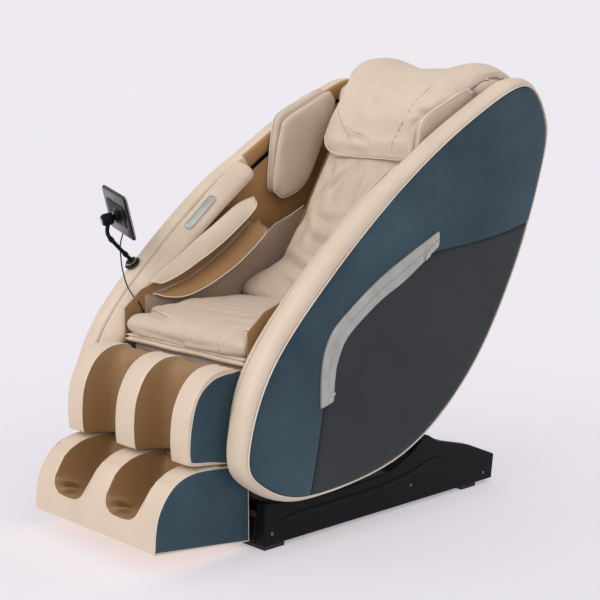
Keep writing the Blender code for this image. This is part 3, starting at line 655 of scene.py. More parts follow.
# ------------------------------------------------------------------ side shells
def shell_section(seam, out, index, shape, side, grow=1.0, sink=0.0):
    """A shell's cross section at a point of the seam, from (x, height) points."""
    swell = min(1.0, 0.45 + 0.60 * max(0.0, out[index].y))
    ring = []
    for x, height in shape:
        reach = height * swell * grow if height > 0 else height
        reach -= sink if x < 0.2990 and height > -0.030 else 0.0
        flat = seam[index] + out[index] * reach
        ring.append(side_point(side, x, flat))
    return ring


def panel_depth(flat, edge):
    """How far the covered panel bulges at a point, given its distance from an edge."""
    middle = Vector((0.09, 0.60))
    share = (flat - middle).length / 0.62
    return SHELL_X - 0.0065 * math.exp(-edge / 0.0045) + 0.0035 * (1 - min(1.0, share) ** 2)


def make_panel(side, suffix, name, upper_edge, lower_edge, look, replaced):
    """A covered panel stretched between two edges that meet at both ends."""
    steps = (0.0, 0.0012, 0.003, 0.0065, 0.013, 0.028, 0.06)
    rows = []
    for a, b in zip(upper_edge, lower_edge):
        width = max((b - a).length, 1e-4)
        shares = [min(s / width, 0.46 * (k / len(steps))) for k, s in enumerate(steps)]
        shares = shares + [0.5] + [1 - s for s in reversed(shares)]
        row = [side_point(side, 0.3495, a)]
        for share in shares:
            flat = a.lerp(b, share)
            edge = min(share, 1 - share) * width
            row.append(side_point(side, panel_depth(flat, edge), flat))
        row.append(side_point(side, 0.3495, b))
        rows.append(row)
    bm = skin(rows)
    bmesh.ops.remove_doubles(bm, verts=bm.verts, dist=0.00015)
    close_back(bm)
    obj = object_of(bm)
    return finish_piece(obj, name + suffix, "pod", [look], replaced, 60.0)


def make_trim(side, suffix):
    """The two-facet silver strip on the side, with two small chrome ticks as painted glints."""
    outer = smooth(TRIM_OUTER, 7)
    inner = smooth(TRIM_INNER, 7)
    facets = ((0.0, 0.3690), (0.02, 0.3765), (0.07, 0.3785), (0.46, 0.3790), (0.50, 0.3772),
              (0.54, 0.3800), (0.92, 0.3770), (0.98, 0.3755), (1.0, 0.3690))
    bm = skin([[side_point(side, x, a.lerp(b, share)) for share, x in facets]
               for a, b in zip(outer, inner)])
    close_back(bm)
    obj = object_of(bm)
    add_modifier(obj, "BEVEL", width=0.0009, segments=2, limit_method="ANGLE",
                 angle_limit=math.radians(50))
    finish_piece(obj, "trim_strip_" + suffix, "pod", ["silver"], ["side_trim_" + suffix],
                 28.0)
    # small chrome ticks near both ends of the strip: painted glints on the trim
    for tag, i0, i1 in (("upper", 2, 3), ("lower", len(outer) - 4, len(outer) - 3)):
        a0, b0 = outer[i0].lerp(inner[i0], 0.62), outer[i0].lerp(inner[i0], 0.95)
        a1, b1 = outer[i1].lerp(inner[i1], 0.62), outer[i1].lerp(inner[i1], 0.95)
        tick = skin([[side_point(side, x, p) for p in (a0, b0, b1, a1)]
                     for x in (0.3765, 0.3806)], around=True, caps=True)
        finish_piece(object_of(tick), f"trim_glint_{tag}_{suffix}", "pod", ["chrome"])


def make_shells():
    """Both side shells: padded rim, armrest, two cover panels and the silver trim."""
    seam = smooth(SEAM, SEAM_STEPS, closed=True)
    out = normals(seam)
    count = len(seam)
    for side, suffix in SIDES:
        rows = [shell_section(seam, out, i, RIM_SECTION, side, blend_list(RIM_GROW, i))
                for i in range(count)]
        rim = object_of(skin(rows, around=True, along=True, paint=lambda i, k: int(
            RIM_TAN[0] <= i < RIM_TAN[1] and 7 <= k <= 10)))
        subdivide(rim)
        ripple(rim, 0.0012, 9.0, side)
        finish_piece(rim, "padded_rim_" + suffix, "pod", ["cream", "tan"], ["rim_" + suffix],
                     70.0)
        edge = [side_point(side, 0.3688, p + n * 0.0002) for p, n in zip(seam, out)]
        piping("rim_piping_" + suffix, edge, "pod", 0.0019, True)
        make_arm_panel(side, suffix, seam, out)

        split = smooth(PANEL_SPLIT, 4)
        disc = [p - n * 0.0012 for p, n in zip(seam, out)]
        rear = min(range(count), key=lambda i: (disc[i] - SPLIT_REAR).length)
        low = min(range(count), key=lambda i: (disc[i] - SPLIT_LOW).length)
        split = [disc[rear]] + [p for p in split if p.x < disc[rear].x - 0.004
                                and p.y > disc[low].y + 0.01] + [disc[low]]
        top = [disc[i % count] for i in range(rear, low - count - 1, -1)]
        bottom = [disc[i] for i in range(rear, low + 1)]
        columns = 96
        split = resample(split, columns)
        make_panel(side, suffix, "side_cover_upper_", resample(top, columns), split, "blue",
                   ["upper_panel_" + suffix])
        make_panel(side, suffix, "side_cover_lower_", split, resample(bottom, columns),
                   "grey", ["lower_panel_" + suffix])
        make_trim(side, suffix)


def make_arm_panel(side, suffix, seam, out):
    """The padded inner side of an armrest, with its rounded rear end."""
    rows = []
    for i in range(-8, 3 * SEAM_STEPS + 1):
        sink = 0.020 * (1 - ease((i + 1) / 9))
        rows.append(shell_section(seam, out, i % len(seam), ARM_SECTION, side, sink=sink))
    last = rows[-1]
    middle = sum(last, Vector()) / len(last)
    run = (sum(rows[-1], Vector()) - sum(rows[-2], Vector())) / len(last)
    run.normalize()
    for angle in (25, 50, 72):
        a = math.radians(angle)
        rows.append([middle + (p - middle) * math.cos(a) + run * (0.022 * math.sin(a))
                     for p in last])
    arm = solid(rows)
    subdivide(arm, 2)
    ripple(arm, 0.0016, 11.0, 5.0)
    finish_piece(arm, "arm_pad_" + suffix, "pod", ["cream"], ["arm_panel_" + suffix],
                 70.0)
    if side < 0:
        make_badge(side, suffix, arm)


# ------------------------------------------------------------------ badge
def make_badge(side, suffix, arm):
    """A plain silver bar with round ends, set into the slope of the armrest."""
    middle = Vector((side * 0.272, -0.073, 0.787))
    run = Vector((0.0, 0.768, 0.640))
    spot, face = arm.closest_point_on_mesh(middle + ORIGIN)[1:3]
    spot -= ORIGIN
    across = run.cross(face).normalized()
    run = face.cross(across).normalized()
    half, width = 0.066, 0.0125
    edge = []
    for k in range(32):
        a = 2 * math.pi * k / 32
        tip = (half - width) * (1 if math.cos(a) > 0 else -1)
        edge.append((tip + width * math.cos(a), width * math.sin(a)))
    for name, rings, look in (
            ("badge_frame_", ((1.0, 1.0, -0.003), (1.0, 1.0, 0.0020), (0.985, 0.90, 0.0030),
                              (0.962, 0.74, 0.0030), (0.955, 0.70, 0.0016)), "silver"),
            ("badge_face_", ((0.950, 0.68, -0.002), (0.950, 0.68, 0.0019),
                             (0.93, 0.60, 0.0023), (0.5, 0.3, 0.0025)), "chrome")):
        rows = [[spot + run * (u * long) + across * (v * wide) + face * lift
                 for u, v in edge] for long, wide, lift in rings]
        plate = solid(rows)
        finish_piece(plate, name + suffix, "pod", [look], sharp=35.0)


# ------------------------------------------------------------------ airbags
def wedge_airbag(name, side, top, lip, lip_x, drop, looks, replaced):
    """A long wedge airbag: its face runs from the arm wall out to a piped lip."""
    wall = AIRBAG_BACK
    dip = 0.022 if side > 0 else 0.0     # the left bags sit lower, behind their rim
    tops, lips = smooth(top, 6), smooth(lip, 6)
    rows, edge = [], []
    count = len(tops)
    for i, (high, low) in enumerate(zip(tops, lips)):
        share = i / (count - 1)
        plump = min(1.0, (2.3 * share) ** 0.9, (14.0 * (1 - share)) ** 0.5)
        low = high.lerp(low, min(1.0, 0.25 + 2.0 * plump))
        low, high = low - Vector((0.0, dip)), high - Vector((0.0, dip + 0.008 * plump))
        a = Vector((wall, high.x, high.y))
        c = Vector((wall - (wall - lip_x) * plump, low.x, low.y))
        under = Vector((wall, low.x + 0.006 * plump, low.y - drop * plump))
        face = c - a
        out = Vector((-abs(face.z), 0.0, abs(face.x))).normalized()
        row = [Vector((wall + 0.0004, a.y, a.z - 0.003 * plump))]
        for t, lift in ((0.03, 0.35), (0.12, 0.80), (0.30, 1.0), (0.52, 0.95), (0.74, 0.70),
                        (0.90, 0.40), (0.975, 0.12)):
            row.append(a.lerp(c, t) + out * (0.0105 * lift * plump))
        row.append(c)
        for t, lift in ((0.06, 0.10), (0.30, 0.35), (0.65, 0.40), (0.92, 0.20)):
            row.append(c.lerp(under, t) - Vector((0.0, 0.0, 0.009 * lift * plump)))
        row.append(under)
        rows.append([Vector((side * q.x, q.y, q.z)) for q in row])
        edge.append(Vector((side * (c.x - 0.0006), c.y, c.z + 0.0004)))
    # faces 8 to 12 run under the lip and take the second look; for the lower bag that is the
    # darker tan, painted shade
    bag = object_of(skin(rows, around=True, caps=True,
                         paint=lambda i, k: int(8 <= k <= 12)))
    subdivide(bag, 2)
    ripple(bag, 0.0032, 14.0, 2.0 + side, (1.0, 0.6, 1.0))
    finish_piece(bag, name, "pod", looks, replaced,
                 80.0)
    piping(name + "_piping", on_surface(bag, edge[2:-1], 0.0004), "pod", 0.0018)
    return bag


def plump_pad(name, outline, side, back, face, crown, looks, replaced=(), pipe=0.45):
    """A pad with a rounded, piped edge and a crowned face, from a closed outline."""
    loop = smooth(outline, 6, closed=True)
    middle = centre(loop)
    deep = face - back
    rings = [(0.90, back), (0.955, back + deep * 0.05), (0.985, back + deep * 0.20),
             (1.0, back + deep * 0.45), (0.985, back + deep * 0.70),
             (0.955, back + deep * 0.86), (0.90, back + deep * 0.98),
             (0.80, face + crown * 0.40), (0.62, face + crown * 0.80),
             (0.40, face + crown * 0.97), (0.15, face + crown)]
    rows = [[side_point(side, x, middle + (p - middle) * s) for p in loop] for s, x in rings]
    pad = solid(rows)
    subdivide(pad, 1)
    ripple(pad, 0.0024, 13.0, 4.0)
    finish_piece(pad, name, "pod", looks, replaced, 80.0)
    edge = [side_point(side, back + deep * pipe, middle + (p - middle) * 1.001) for p in loop]
    piping(name + "_piping", edge, "pod", 0.0018, True)


def make_arm_wall(side, suffix):
    """The flat inner wall of an armrest: a lining above, a padded panel below, both painted
    darker than their leather as painted shade inside the arm.
    """
    for name, outline, looks, replaced in (
            ("arm_wall_panel_", ARM_WALL_LOW, ["taupe"], ["arm_wall_" + suffix]),
            # the lining takes the darker tan: painted shade inside the arm
            ("arm_wall_lining_", ARM_WALL_HIGH, ["tan_shaded"], [])):
        middle = centre(Vector(p) for p in outline)
        rows = [[side_point(side, x, middle + (Vector(p) - middle) * s) for p in outline]
                for x, s in ((WALL_BACK, 1.0), (WALL_EDGE, 1.0), (WALL_FACE, 0.994))]
        wall = solid(rows)
        finish_piece(wall, name + suffix, "pod", looks, replaced, sharp=30.0)


def make_airbags():
    """Two arm airbags and two shoulder pads on each side, and the arm's inner wall."""
    for side, suffix in SIDES:
        wedge_airbag("arm_airbag_top_" + suffix, side,
                     [(-0.276, 0.604), (-0.2225, 0.647), (-0.1515, 0.693), (-0.084, 0.738),
                      (-0.020, 0.777), (0.0304, 0.806), (0.071, 0.820), (0.107, 0.823)],
                     [(-0.305, 0.599), (-0.247, 0.603), (-0.182, 0.629), (-0.110, 0.667),
                      (-0.041, 0.708), (0.0134, 0.744), (0.056, 0.775), (0.104, 0.815)],
                     0.2050, 0.020, ["cream_soft", "tan"], ["arm_airbag_upper_" + suffix])
        wedge_airbag("arm_airbag_low_" + suffix, side,
                     [(-0.268, 0.574), (-0.210, 0.584), (-0.139, 0.609), (-0.066, 0.644),
                      (0.004, 0.686), (0.055, 0.724), (0.086, 0.749), (0.124, 0.756)],
                     [(-0.301, 0.579), (-0.238, 0.565), (-0.173, 0.563), (-0.096, 0.590),
                      (-0.022, 0.626), (0.0385, 0.662), (0.090, 0.698), (0.129, 0.735)],
                     0.2000, 0.016, ["tan", "tan_shaded"], ["arm_airbag_lower_" + suffix])
        plump_pad("shoulder_pad_front_" + suffix,
                  [(0.431, 1.108), (0.407, 1.116), (0.333, 1.083), (0.241, 1.038),
                   (0.222, 1.000), (0.206, 0.931), (0.192, 0.846), (0.206, 0.822),
                   (0.240, 0.811), (0.322, 0.850), (0.385, 0.960), (0.440, 1.070)],
                  side, 0.2680, 0.2470, -0.005, ["pad"], ["shoulder_airbag_" + suffix], pipe=0.50)
        plump_pad("shoulder_pad_rear_" + suffix,
                  [(0.425, 1.116), (0.398, 1.124), (0.304, 1.086), (0.230, 1.048),
                   (0.213, 0.989), (0.202, 0.900), (0.200, 0.846), (0.215, 0.826),
                   (0.260, 0.830), (0.330, 0.880), (0.400, 1.000), (0.436, 1.085)],
                  side, 0.2956, 0.2700, -0.002, ["pad"], pipe=0.20)
        make_arm_wall(side, suffix)
        rim = [side_point(side, 0.2490, p) for p in
               smooth([(0.150, 0.706), (0.171, 0.721), (0.192, 0.736), (0.208, 0.7405),
                       (0.256, 0.759), (0.306, 0.782)], 3)]
        piping("arm_wall_piping_" + suffix, rim, "pod", 0.0014)


# ------------------------------------------------------------------ seat
def slab(profile, half):
    """A soft block: a closed (y, z) profile carried across x, with rounded ends."""
    columns, shrink, round_x = 34, 0.012, 0.020
    loop = smooth(profile, 6, closed=True)
    middle = centre(loop)
    rows = []
    for i in range(columns + 1):
        x = -half + 2 * half * i / columns
        near = (half - abs(x)) / round_x
        scale = 1.0 - (shrink / 0.06) * (1 - math.sqrt(max(0.0, 1 - (1 - min(1, near)) ** 2)))
        row = []
        for p in loop:
            flat = middle + Vector(((p.x - middle.x) * (1 - 0.25 * (1 - scale)),
                                    (p.y - middle.y) * scale))
            row.append(Vector((x, flat.x, flat.y)))
        rows.append(row)
    return skin(rows, around=True, caps=True)


def terrace(obj, path, height, reach):
    """Lower the upholstery in front of a (x, y) line, fading to nothing at its end."""
    points = coords(obj)
    line = [Vector((p[0], p[1], 0.0)) + ORIGIN for p in path]
    flat = points.copy()
    flat[:, 2] = ORIGIN.z
    gap, share = near_path(flat, line)
    ahead = np.interp(points[:, 0], *zip(*sorted((p.x, p.y) for p in line))) > points[:, 1]
    fall = height * np.exp(-(gap / reach) ** 2) * (1 - share) ** 0.7
    over = points[:, 2] > 0.50
    points[:, 2] += np.where(over, np.where(ahead, -fall, 0.45 * fall), 0.0)
    set_coords(obj, points)


def make_seat():
    """The seat cushion with its overlapping flaps, and a pleated apron below it."""
    seat = object_of(slab([(-0.345, 0.481), (-0.362, 0.484), (-0.3690, 0.495),
                           (-0.3680, 0.510), (-0.352, 0.523), (-0.320, 0.530),
                           (-0.250, 0.543), (-0.160, 0.550), (-0.060, 0.548),
                           (0.030, 0.540), (0.082, 0.522), (0.088, 0.440),
                           (0.000, 0.416), (-0.315, 0.416), (-0.332, 0.456)], 0.2450))
    puff(seat, 0.0058, 3.0, 0.008)
    ripple(seat, 0.0034, 7.0, 1.0, (1.0, 1.3, 0.4))
    left = [(-0.250, -0.276), (-0.190, -0.292), (-0.130, -0.312), (-0.075, -0.325)]
    right = [(0.250, -0.300), (0.225, -0.303), (0.190, -0.302), (0.150, -0.300)]
    for name, path, height in (("right", left, 0.0130), ("left", right, 0.0090)):
        terrace(seat, path, height, 0.035)
        level = [(x, y, 0.538) for x, y in path]
        fold(seat, [(x, y - 0.002, 0.536) for x, y in path], 0.0032, 0.0050, ridge=0.4)
        line = on_surface(seat, [(x, y + 0.0035, z) for x, y, z in level], 0.0006, 9)
        piping("seat_seam_" + name, line[:-2], "pod", 0.0017)
    for x in (-0.104, 0.146):
        fold(seat, smooth([(x - 0.034, -0.292, 0.535), (x - 0.012, -0.335, 0.527),
                           (x + 0.006, -0.364, 0.510), (x + 0.011, -0.369, 0.495),
                           (x + 0.006, -0.362, 0.484)], 4), 0.0030, 0.0034,
             fade=False, ridge=0.4)
    for path in ([(-0.060, -0.225, 0.547), (0.060, -0.240, 0.546), (0.170, -0.200, 0.548)],
                 [(-0.120, -0.170, 0.550), (-0.010, -0.195, 0.550), (0.110, -0.150, 0.550)],
                 [(-0.180, -0.080, 0.549), (-0.060, -0.120, 0.549), (0.060, -0.090, 0.549)],
                 [(0.060, -0.285, 0.540), (0.130, -0.275, 0.541), (0.200, -0.262, 0.542)]):
        fold(seat, smooth(path, 3), 0.0110, 0.0016, ridge=0.7)
    finish_piece(seat, "seat_pad", "pod", ["pad"], ["seat_cushion"], 80.0)
    for tag, y, z, deep, tall in (("upper", -0.3580, 0.4770, 0.020, 0.0050),
                                  ("lower", -0.3620, 0.4662, 0.022, 0.0076)):
        rows = []
        for i in range(41):
            x = -0.243 + 0.486 * i / 40
            sag = 0.0012 * math.sin(9 * x) + 0.0008 * math.sin(31 * x) - 0.008 * (x + 0.24)
            ends = min(1.0, (0.243 - abs(x)) / 0.010 + 0.35)
            rows.append([Vector((x, y + deep * 0.5 + deep * 0.5 * math.cos(a),
                                 z + sag + tall * ends * math.sin(a)))
                         for a in (2 * math.pi * k / 14 for k in range(14))])
        apron = solid(rows)
        finish_piece(apron, "seat_apron_" + tag, "pod", ["cream_soft"], sharp=80.0)


# ------------------------------------------------------------------ back pad
BACK_PATH = [(0.0830, 0.4935), (0.1450, 0.5895), (0.2625, 0.7917), (0.3750, 0.9850),
             (0.4320, 1.0830), (0.4700, 1.1240), (0.5300, 1.1460), (0.5950, 1.1400)]
BACK_WIDTHS = [(0.00, 0.216), (0.02, 0.243), (0.055, 0.2460), (0.10, 0.2400),
               (0.15, 0.2240), (0.20, 0.2070), (0.31, 0.1965), (0.40, 0.2000),
               (0.50, 0.2060), (0.60, 0.2140), (0.66, 0.2300), (0.72, 0.2700),
               (0.76, 0.2900), (0.90, 0.2900)]


def draped(path, widths, across, lift, thick, count=64, right_widths=None):
    """A padded sheet over a (y, z) path: lift(x, u, s) raises its face, thick its body."""
    line = resample(smooth(path, 8), count)
    step = (line[1] - line[0]).length
    rows = []
    for i, p in enumerate(line):
        run = (line[min(i + 1, count - 1)] - line[max(i - 1, 0)]).normalized()
        out = Vector((-run.y, run.x))
        s = i * step
        halves = blend_list(right_widths or widths, s), blend_list(widths, s)
        face, back = [], []
        for k in range(across + 1):
            u = -math.cos(math.pi * k / across) * 0.35 + (2 * k / across - 1) * 0.65
            half = halves[int(u > 0)]
            here = p + out * lift(u * half, u, s)
            face.append(Vector((u * half, here.x, here.y)))
            here = p - out * (thick - 0.006 * abs(u))
            back.append(Vector((u * half * 0.97, here.x, here.y)))
        rows.append(face + back[::-1])
    return skin(rows, around=True, caps=True)


def back_lift(x, u, s):
    """Height of the back pad's face: crowned, with a flap that comes forward low down."""
    low = ease((0.19 - s) / 0.10)
    crown = 0.013 * (1 - abs(u) ** 2.5)
    side = (-0.030 + 0.022 * low) * max(0.0, (abs(u) - 0.90) / 0.10) ** 1.7
    flap = 0.060 * ease((abs(x) - 0.10) / 0.13) * ease((s + 0.012) / 0.05)
    flap *= ease((0.180 - s) / 0.125)
    toe = 0.012 * ease((0.10 - s) / 0.10)
    return crown + side + flap + toe


def make_back():
    """The creased back cushion."""
    pad = object_of(draped(BACK_PATH, BACK_WIDTHS, 36, back_lift, 0.044))
    puff(pad, 0.0062, 2.0, 0.006)
    ripple(pad, 0.0055, 7.5, 9.0, (1.2, 0.8, 0.8))
    ripple(pad, 0.0020, 24.0, 3.0, (1.0, 0.7, 0.7))

    def at(x, up, out=0.012):
        return Vector((x, 0.0, 0.0)) + BACK_FOOT + BACK_UP * up + BACK_OUT * out
    creases = [([(-0.024, 0.470), (-0.066, 0.424), (-0.096, 0.365)], 0.015, 0.0085),
               ([(0.051, 0.465), (0.056, 0.400), (0.045, 0.330)], 0.014, 0.0070),
               ([(0.120, 0.470), (0.110, 0.410), (0.125, 0.350)], 0.012, 0.0060),
               ([(-0.150, 0.480), (-0.120, 0.430), (-0.150, 0.370)], 0.012, 0.0060),
               ([(-0.120, 0.225), (-0.040, 0.212), (0.040, 0.242)], 0.013, 0.0060),
               ([(-0.205, 0.165), (-0.110, 0.135), (-0.020, 0.100)], 0.015, 0.0080),
               ([(0.205, 0.165), (0.110, 0.140), (0.030, 0.110)], 0.015, 0.0070),
               ([(-0.235, 0.080), (-0.170, 0.045), (-0.130, 0.020)], 0.012, 0.0070),
               ([(0.020, 0.300), (-0.060, 0.280), (-0.130, 0.300)], 0.014, 0.0045),
               ([(-0.190, 0.330), (-0.150, 0.260), (-0.160, 0.200)], 0.016, 0.0050)]
    for path, width, depth in creases:
        fold(pad, [at(*p) for p in path], width, depth, ridge=0.7)
    finish_piece(pad, "back_cushion", "pod", ["pad"], ["back_pad"], 80.0)


# ------------------------------------------------------------------ head pillow
PILLOW_PATH = [(0.3345, 0.9170), (0.3800, 0.9950), (0.4320, 1.0830), (0.4700, 1.1240),
               (0.5300, 1.1480), (0.5900, 1.1480), (0.6380, 1.1330)]
PILLOW_LEFT = [(0.00, 0.192), (0.03, 0.186), (0.065, 0.170), (0.10, 0.172), (0.13, 0.192),
               (0.16, 0.232), (0.20, 0.262), (0.25, 0.272), (0.50, 0.266)]
PILLOW_RIGHT = [(0.00, 0.130), (0.012, 0.158), (0.035, 0.184), (0.07, 0.199), (0.13, 0.197),
              (0.18, 0.190), (0.22, 0.196), (0.27, 0.226), (0.33, 0.262), (0.50, 0.266)]


def pillow_lift(x, u, s):
    """Height of the pillow's face over the back: a wedge that turns into a saddled cap."""
    wedge = blend_list([(0.0, 0.026), (0.05, 0.044), (0.12, 0.054), (0.20, 0.056)], s)
    face = wedge * (1 - abs(u) ** 8) ** 0.4 + 0.002
    cap = 0.030 + 0.034 * math.exp(-((x + 0.165) / 0.085) ** 2)
    cap += 0.016 * math.exp(-((x - 0.190) / 0.060) ** 2)
    cap = cap * (1 - abs(u) ** 9) ** 0.5 + 0.001
    return face + (cap - face) * ease((s - 0.14) / 0.12)


def make_pillow():
    """The head pillow with its wing lip, seams and strap."""
    pillow = object_of(draped(PILLOW_PATH, PILLOW_LEFT, 40, pillow_lift, -0.0035, 60,
                              PILLOW_RIGHT))
    puff(pillow, 0.0050, 2.0, 0.005)
    ripple(pillow, 0.0040, 9.0, 6.0)

    def at(x, up, out=0.055):
        return Vector((x, 0.0, 0.0)) + BACK_FOOT + BACK_UP * up + BACK_OUT * out
    wing = smooth([at(-0.168, 0.735), at(-0.166, 0.687), at(-0.160, 0.640), at(-0.148, 0.605),
                   at(-0.112, 0.578), at(-0.060, 0.557), at(-0.025, 0.549)], 4)
    seam = smooth([at(0.165, 0.705), at(0.150, 0.676), at(0.126, 0.608), at(0.105, 0.534),
                   at(0.103, 0.495)], 4)
    points = coords(pillow)
    gap, share = near_path(points, [p + ORIGIN for p in wing])
    inner = points[:, 0] > -0.155 + ORIGIN.x + 0.10 * np.clip((1.07 - points[:, 2]) / 0.10, 0, 1)
    lip = 0.0055 * np.exp(-(gap / 0.030) ** 2) * np.minimum(1.0, (1 - share) * 3)
    set_coords(pillow, points + vertex_normals(pillow) * np.where(inner, lip, 0.0)[:, None])
    fold(pillow, [p - BACK_UP * 0.003 for p in wing], 0.0030, 0.0035, ridge=0.2)
    fold(pillow, seam, 0.0026, 0.0032, fade=False, ridge=0.3)
    fold(pillow, [at(0.106, 0.529), at(0.169, 0.537)], 0.0028, 0.0042, fade=False, ridge=0.3)
    fold(pillow, smooth([at(-0.06, 0.70), at(-0.03, 0.645), at(0.02, 0.62)], 4), 0.016,
         0.0035, ridge=0.7)
    fold(pillow, smooth([at(0.02, 0.52), at(-0.04, 0.535), at(-0.09, 0.53)], 4), 0.010,
         0.0030, ridge=0.7)
    finish_piece(pillow, "pillow", "pillow", ["cream_soft"], ["head_pillow"],
                 80.0)
    piping("pillow_piping_wing", on_surface(pillow, wing, 0.0008)[2:], "pillow", 0.0015)
    rest = on_surface(pillow, seam, 0.0003)
    for k, (a, b) in enumerate(zip(rest, rest[1:])):
        piping(f"pillow_stitch_{k:02d}", [a, a.lerp(b, 0.28), a.lerp(b, 0.56)], "pillow",
               0.0006, look="stitch", sides=5)
    low = on_surface(pillow, smooth([at(-0.186, 0.545, 0.04), at(-0.172, 0.518, 0.035),
                                     at(-0.140, 0.498, 0.03), at(-0.060, 0.486, 0.03),
                                     at(0.060, 0.481, 0.03), at(0.188, 0.482, 0.03)], 4), 0.0004)
    piping("pillow_piping_low", low, "pillow", 0.0014)

    # the strap that runs up the left side and over the shell
    strap = smooth([at(0.196, 0.490, 0.030), at(0.176, 0.530, 0.040), at(0.173, 0.570, 0.050),
                    at(0.196, 0.604, 0.052), at(0.232, 0.628, 0.050), at(0.262, 0.652, 0.042),
                    at(0.272, 0.690, 0.030), at(0.274, 0.725, 0.012)], 5)
    edge = on_surface(pillow, strap, 0.0006)
    piping("pillow_piping_side", edge, "pillow", 0.0015)
    rows = []
    for i, p in enumerate(edge):
        run = (edge[min(i + 1, len(edge) - 1)] - edge[max(i - 1, 0)]).normalized()
        across = run.cross(BACK_OUT).normalized()
        across = across if across.x > 0 else -across
        rows.append([p + across * w + BACK_OUT * h for w, h in
                     ((0.002, -0.004), (0.003, -0.0005), (0.007, 0.0010), (0.014, 0.0002),
                      (0.020, -0.0035), (0.0215, -0.006), (0.019, -0.0085), (0.008, -0.007))])
    band = solid(rows)
    subdivide(band)
    finish_piece(band, "pillow_strap", "pillow", ["pad"], sharp=80.0)


# ------------------------------------------------------------------ leg rest
RIDGE_MID = 0.0375           # half width of the middle ridge
RIDGE_IN = 0.1870            # inner edge of an outer ridge
LEG_SIDE = 0.2530            # outer face of the leg rest's upholstery
CHANNEL_MID = (RIDGE_MID + RIDGE_IN) / 2


def channel_columns():
    """x of each column over the leg rest, and its place in a channel (None on a ridge)."""
    columns = [(RIDGE_MID * s, None) for s in (-1.0, -0.92, -0.75, -0.35, 0.35, 0.75, 0.92, 1.0)]
    half = (RIDGE_IN - RIDGE_MID) / 2
    for side in (-1.0, 1.0):
        columns += [(side * (LEG_SIDE - (LEG_SIDE - RIDGE_IN) * s), None)
                    for s in (0.0, 0.04, 0.14, 0.5, 0.86, 0.96, 1.0)]
        columns += [(side * (CHANNEL_MID - half * u), u)
                    for u in (-0.999, -0.985, -0.95, -0.89, -0.80, -0.68, -0.52, -0.34, -0.12,
                              0.12, 0.34, 0.52, 0.68, 0.80, 0.89, 0.95, 0.985, 0.999)]
    return sorted(columns, key=lambda c: c[0])


def ridge_crown(x):
    """How far a ridge's face stands proud at x: 0 at its edges."""
    outer = (LEG_SIDE + RIDGE_IN) / 2
    share = min(abs(x) / RIDGE_MID, abs(abs(x) - outer) / (LEG_SIDE - outer), 1.0)
    return 0.0040 * (1 - share ** 4)


def make_calf():
    """The calf cushion: three ridges around two deep channels."""
    front = smooth([(-0.390, 0.226), (-0.470, 0.236), (-0.530, 0.244), (-0.5415, 0.255),
                    (-0.5430, 0.312), (-0.533, 0.373), (-0.501, 0.430), (-0.455, 0.460),
                    (-0.400, 0.4625), (-0.374, 0.444)], 6)
    floor = smooth([(-0.388, 0.228), (-0.410, 0.2305), (-0.435, 0.233), (-0.443, 0.245),
                    (-0.4425, 0.310), (-0.440, 0.365), (-0.434, 0.405), (-0.424, 0.435),
                    (-0.404, 0.4555), (-0.3735, 0.441)], 6)
    columns = channel_columns()
    rows = []
    for x, u in columns:
        row = []
        for k, (a, b) in enumerate(zip(front, floor)):
            t = k / (len(front) - 1)
            proud = ridge_crown(x) * math.sin(math.pi * t) if u is None else 0.0
            deep = 0.0
            if u is not None:
                deep = (1 - abs(u) ** 3.0) ** 0.5 * (0.25 + 0.75 * ease((1 - abs(u)) / 0.16))
            out = Vector((-0.95, 0.30 * t)) * proud
            p = a.lerp(b, deep) + out
            row.append(Vector((x, p.x, p.y)))
        row += [Vector((x, -0.3735, 0.400)), Vector((x, -0.3800, 0.300)),
                Vector((x, -0.3850, 0.240))]
        rows.append(row)
    total = len(front)

    # channel faces take the darker tan: painted shade down in the channels
    def paint(i, k):
        inside = columns[i][1] is not None and columns[i + 1][1] is not None
        return int(inside and 8 < k < total - 1)
    calf = object_of(skin(rows, around=True, caps=True, paint=paint))
    add_modifier(calf, "BEVEL", width=0.0045, segments=3, limit_method="ANGLE",
                 angle_limit=math.radians(42))
    apply_modifiers(calf)
    finish_piece(calf, "calf_cushion", "legrest", ["cream", "tan_shaded"], ["calf_rest"],
                 60.0)
    for name, x in (("outer_right", -RIDGE_IN), ("inner_right", -RIDGE_MID),
                    ("inner_left", RIDGE_MID), ("outer_left", RIDGE_IN)):
        edge = [Vector((x, p.x - 0.0004, p.y + 0.0002)) for p in front[14:-3]]
        piping("calf_piping_" + name, edge, "legrest", 0.0012)
    outline = [(-0.3780, 0.4505), (-0.4058, 0.4535), (-0.4339, 0.4520), (-0.4658, 0.4445),
               (-0.4935, 0.4270), (-0.5113, 0.4066), (-0.5233, 0.3806), (-0.5315, 0.3480),
               (-0.5370, 0.3180), (-0.5390, 0.2874), (-0.5385, 0.2640), (-0.5300, 0.2520),
               (-0.4764, 0.2440), (-0.3900, 0.2320), (-0.3830, 0.3000), (-0.3790, 0.3800)]
    for side, suffix in SIDES:
        side_cover("calf_side_" + suffix, outline, side, "legrest")


def side_cover(name, outline, side, body):
    """A thin upholstered cover on the side of the leg rest, with a piped edge."""
    loop = smooth(outline, 5, closed=True)
    middle = centre(loop)
    rings = [(1.0, -0.003), (1.0, 0.0006), (0.990, 0.0020), (0.965, 0.0034), (0.90, 0.0048),
             (0.70, 0.0062), (0.42, 0.0070), (0.15, 0.0072)]
    rows = [[side_point(side, LEG_SIDE + lift, middle + (p - middle) * s) for p in loop]
            for s, lift in rings]
    cover = solid(rows)
    subdivide(cover)
    finish_piece(cover, name, body, ["blue"], sharp=70.0)
    edge = [side_point(side, LEG_SIDE + 0.0006, middle + (p - middle) * 1.003) for p in loop]
    piping(name + "_piping", edge, body, 0.0013, True)


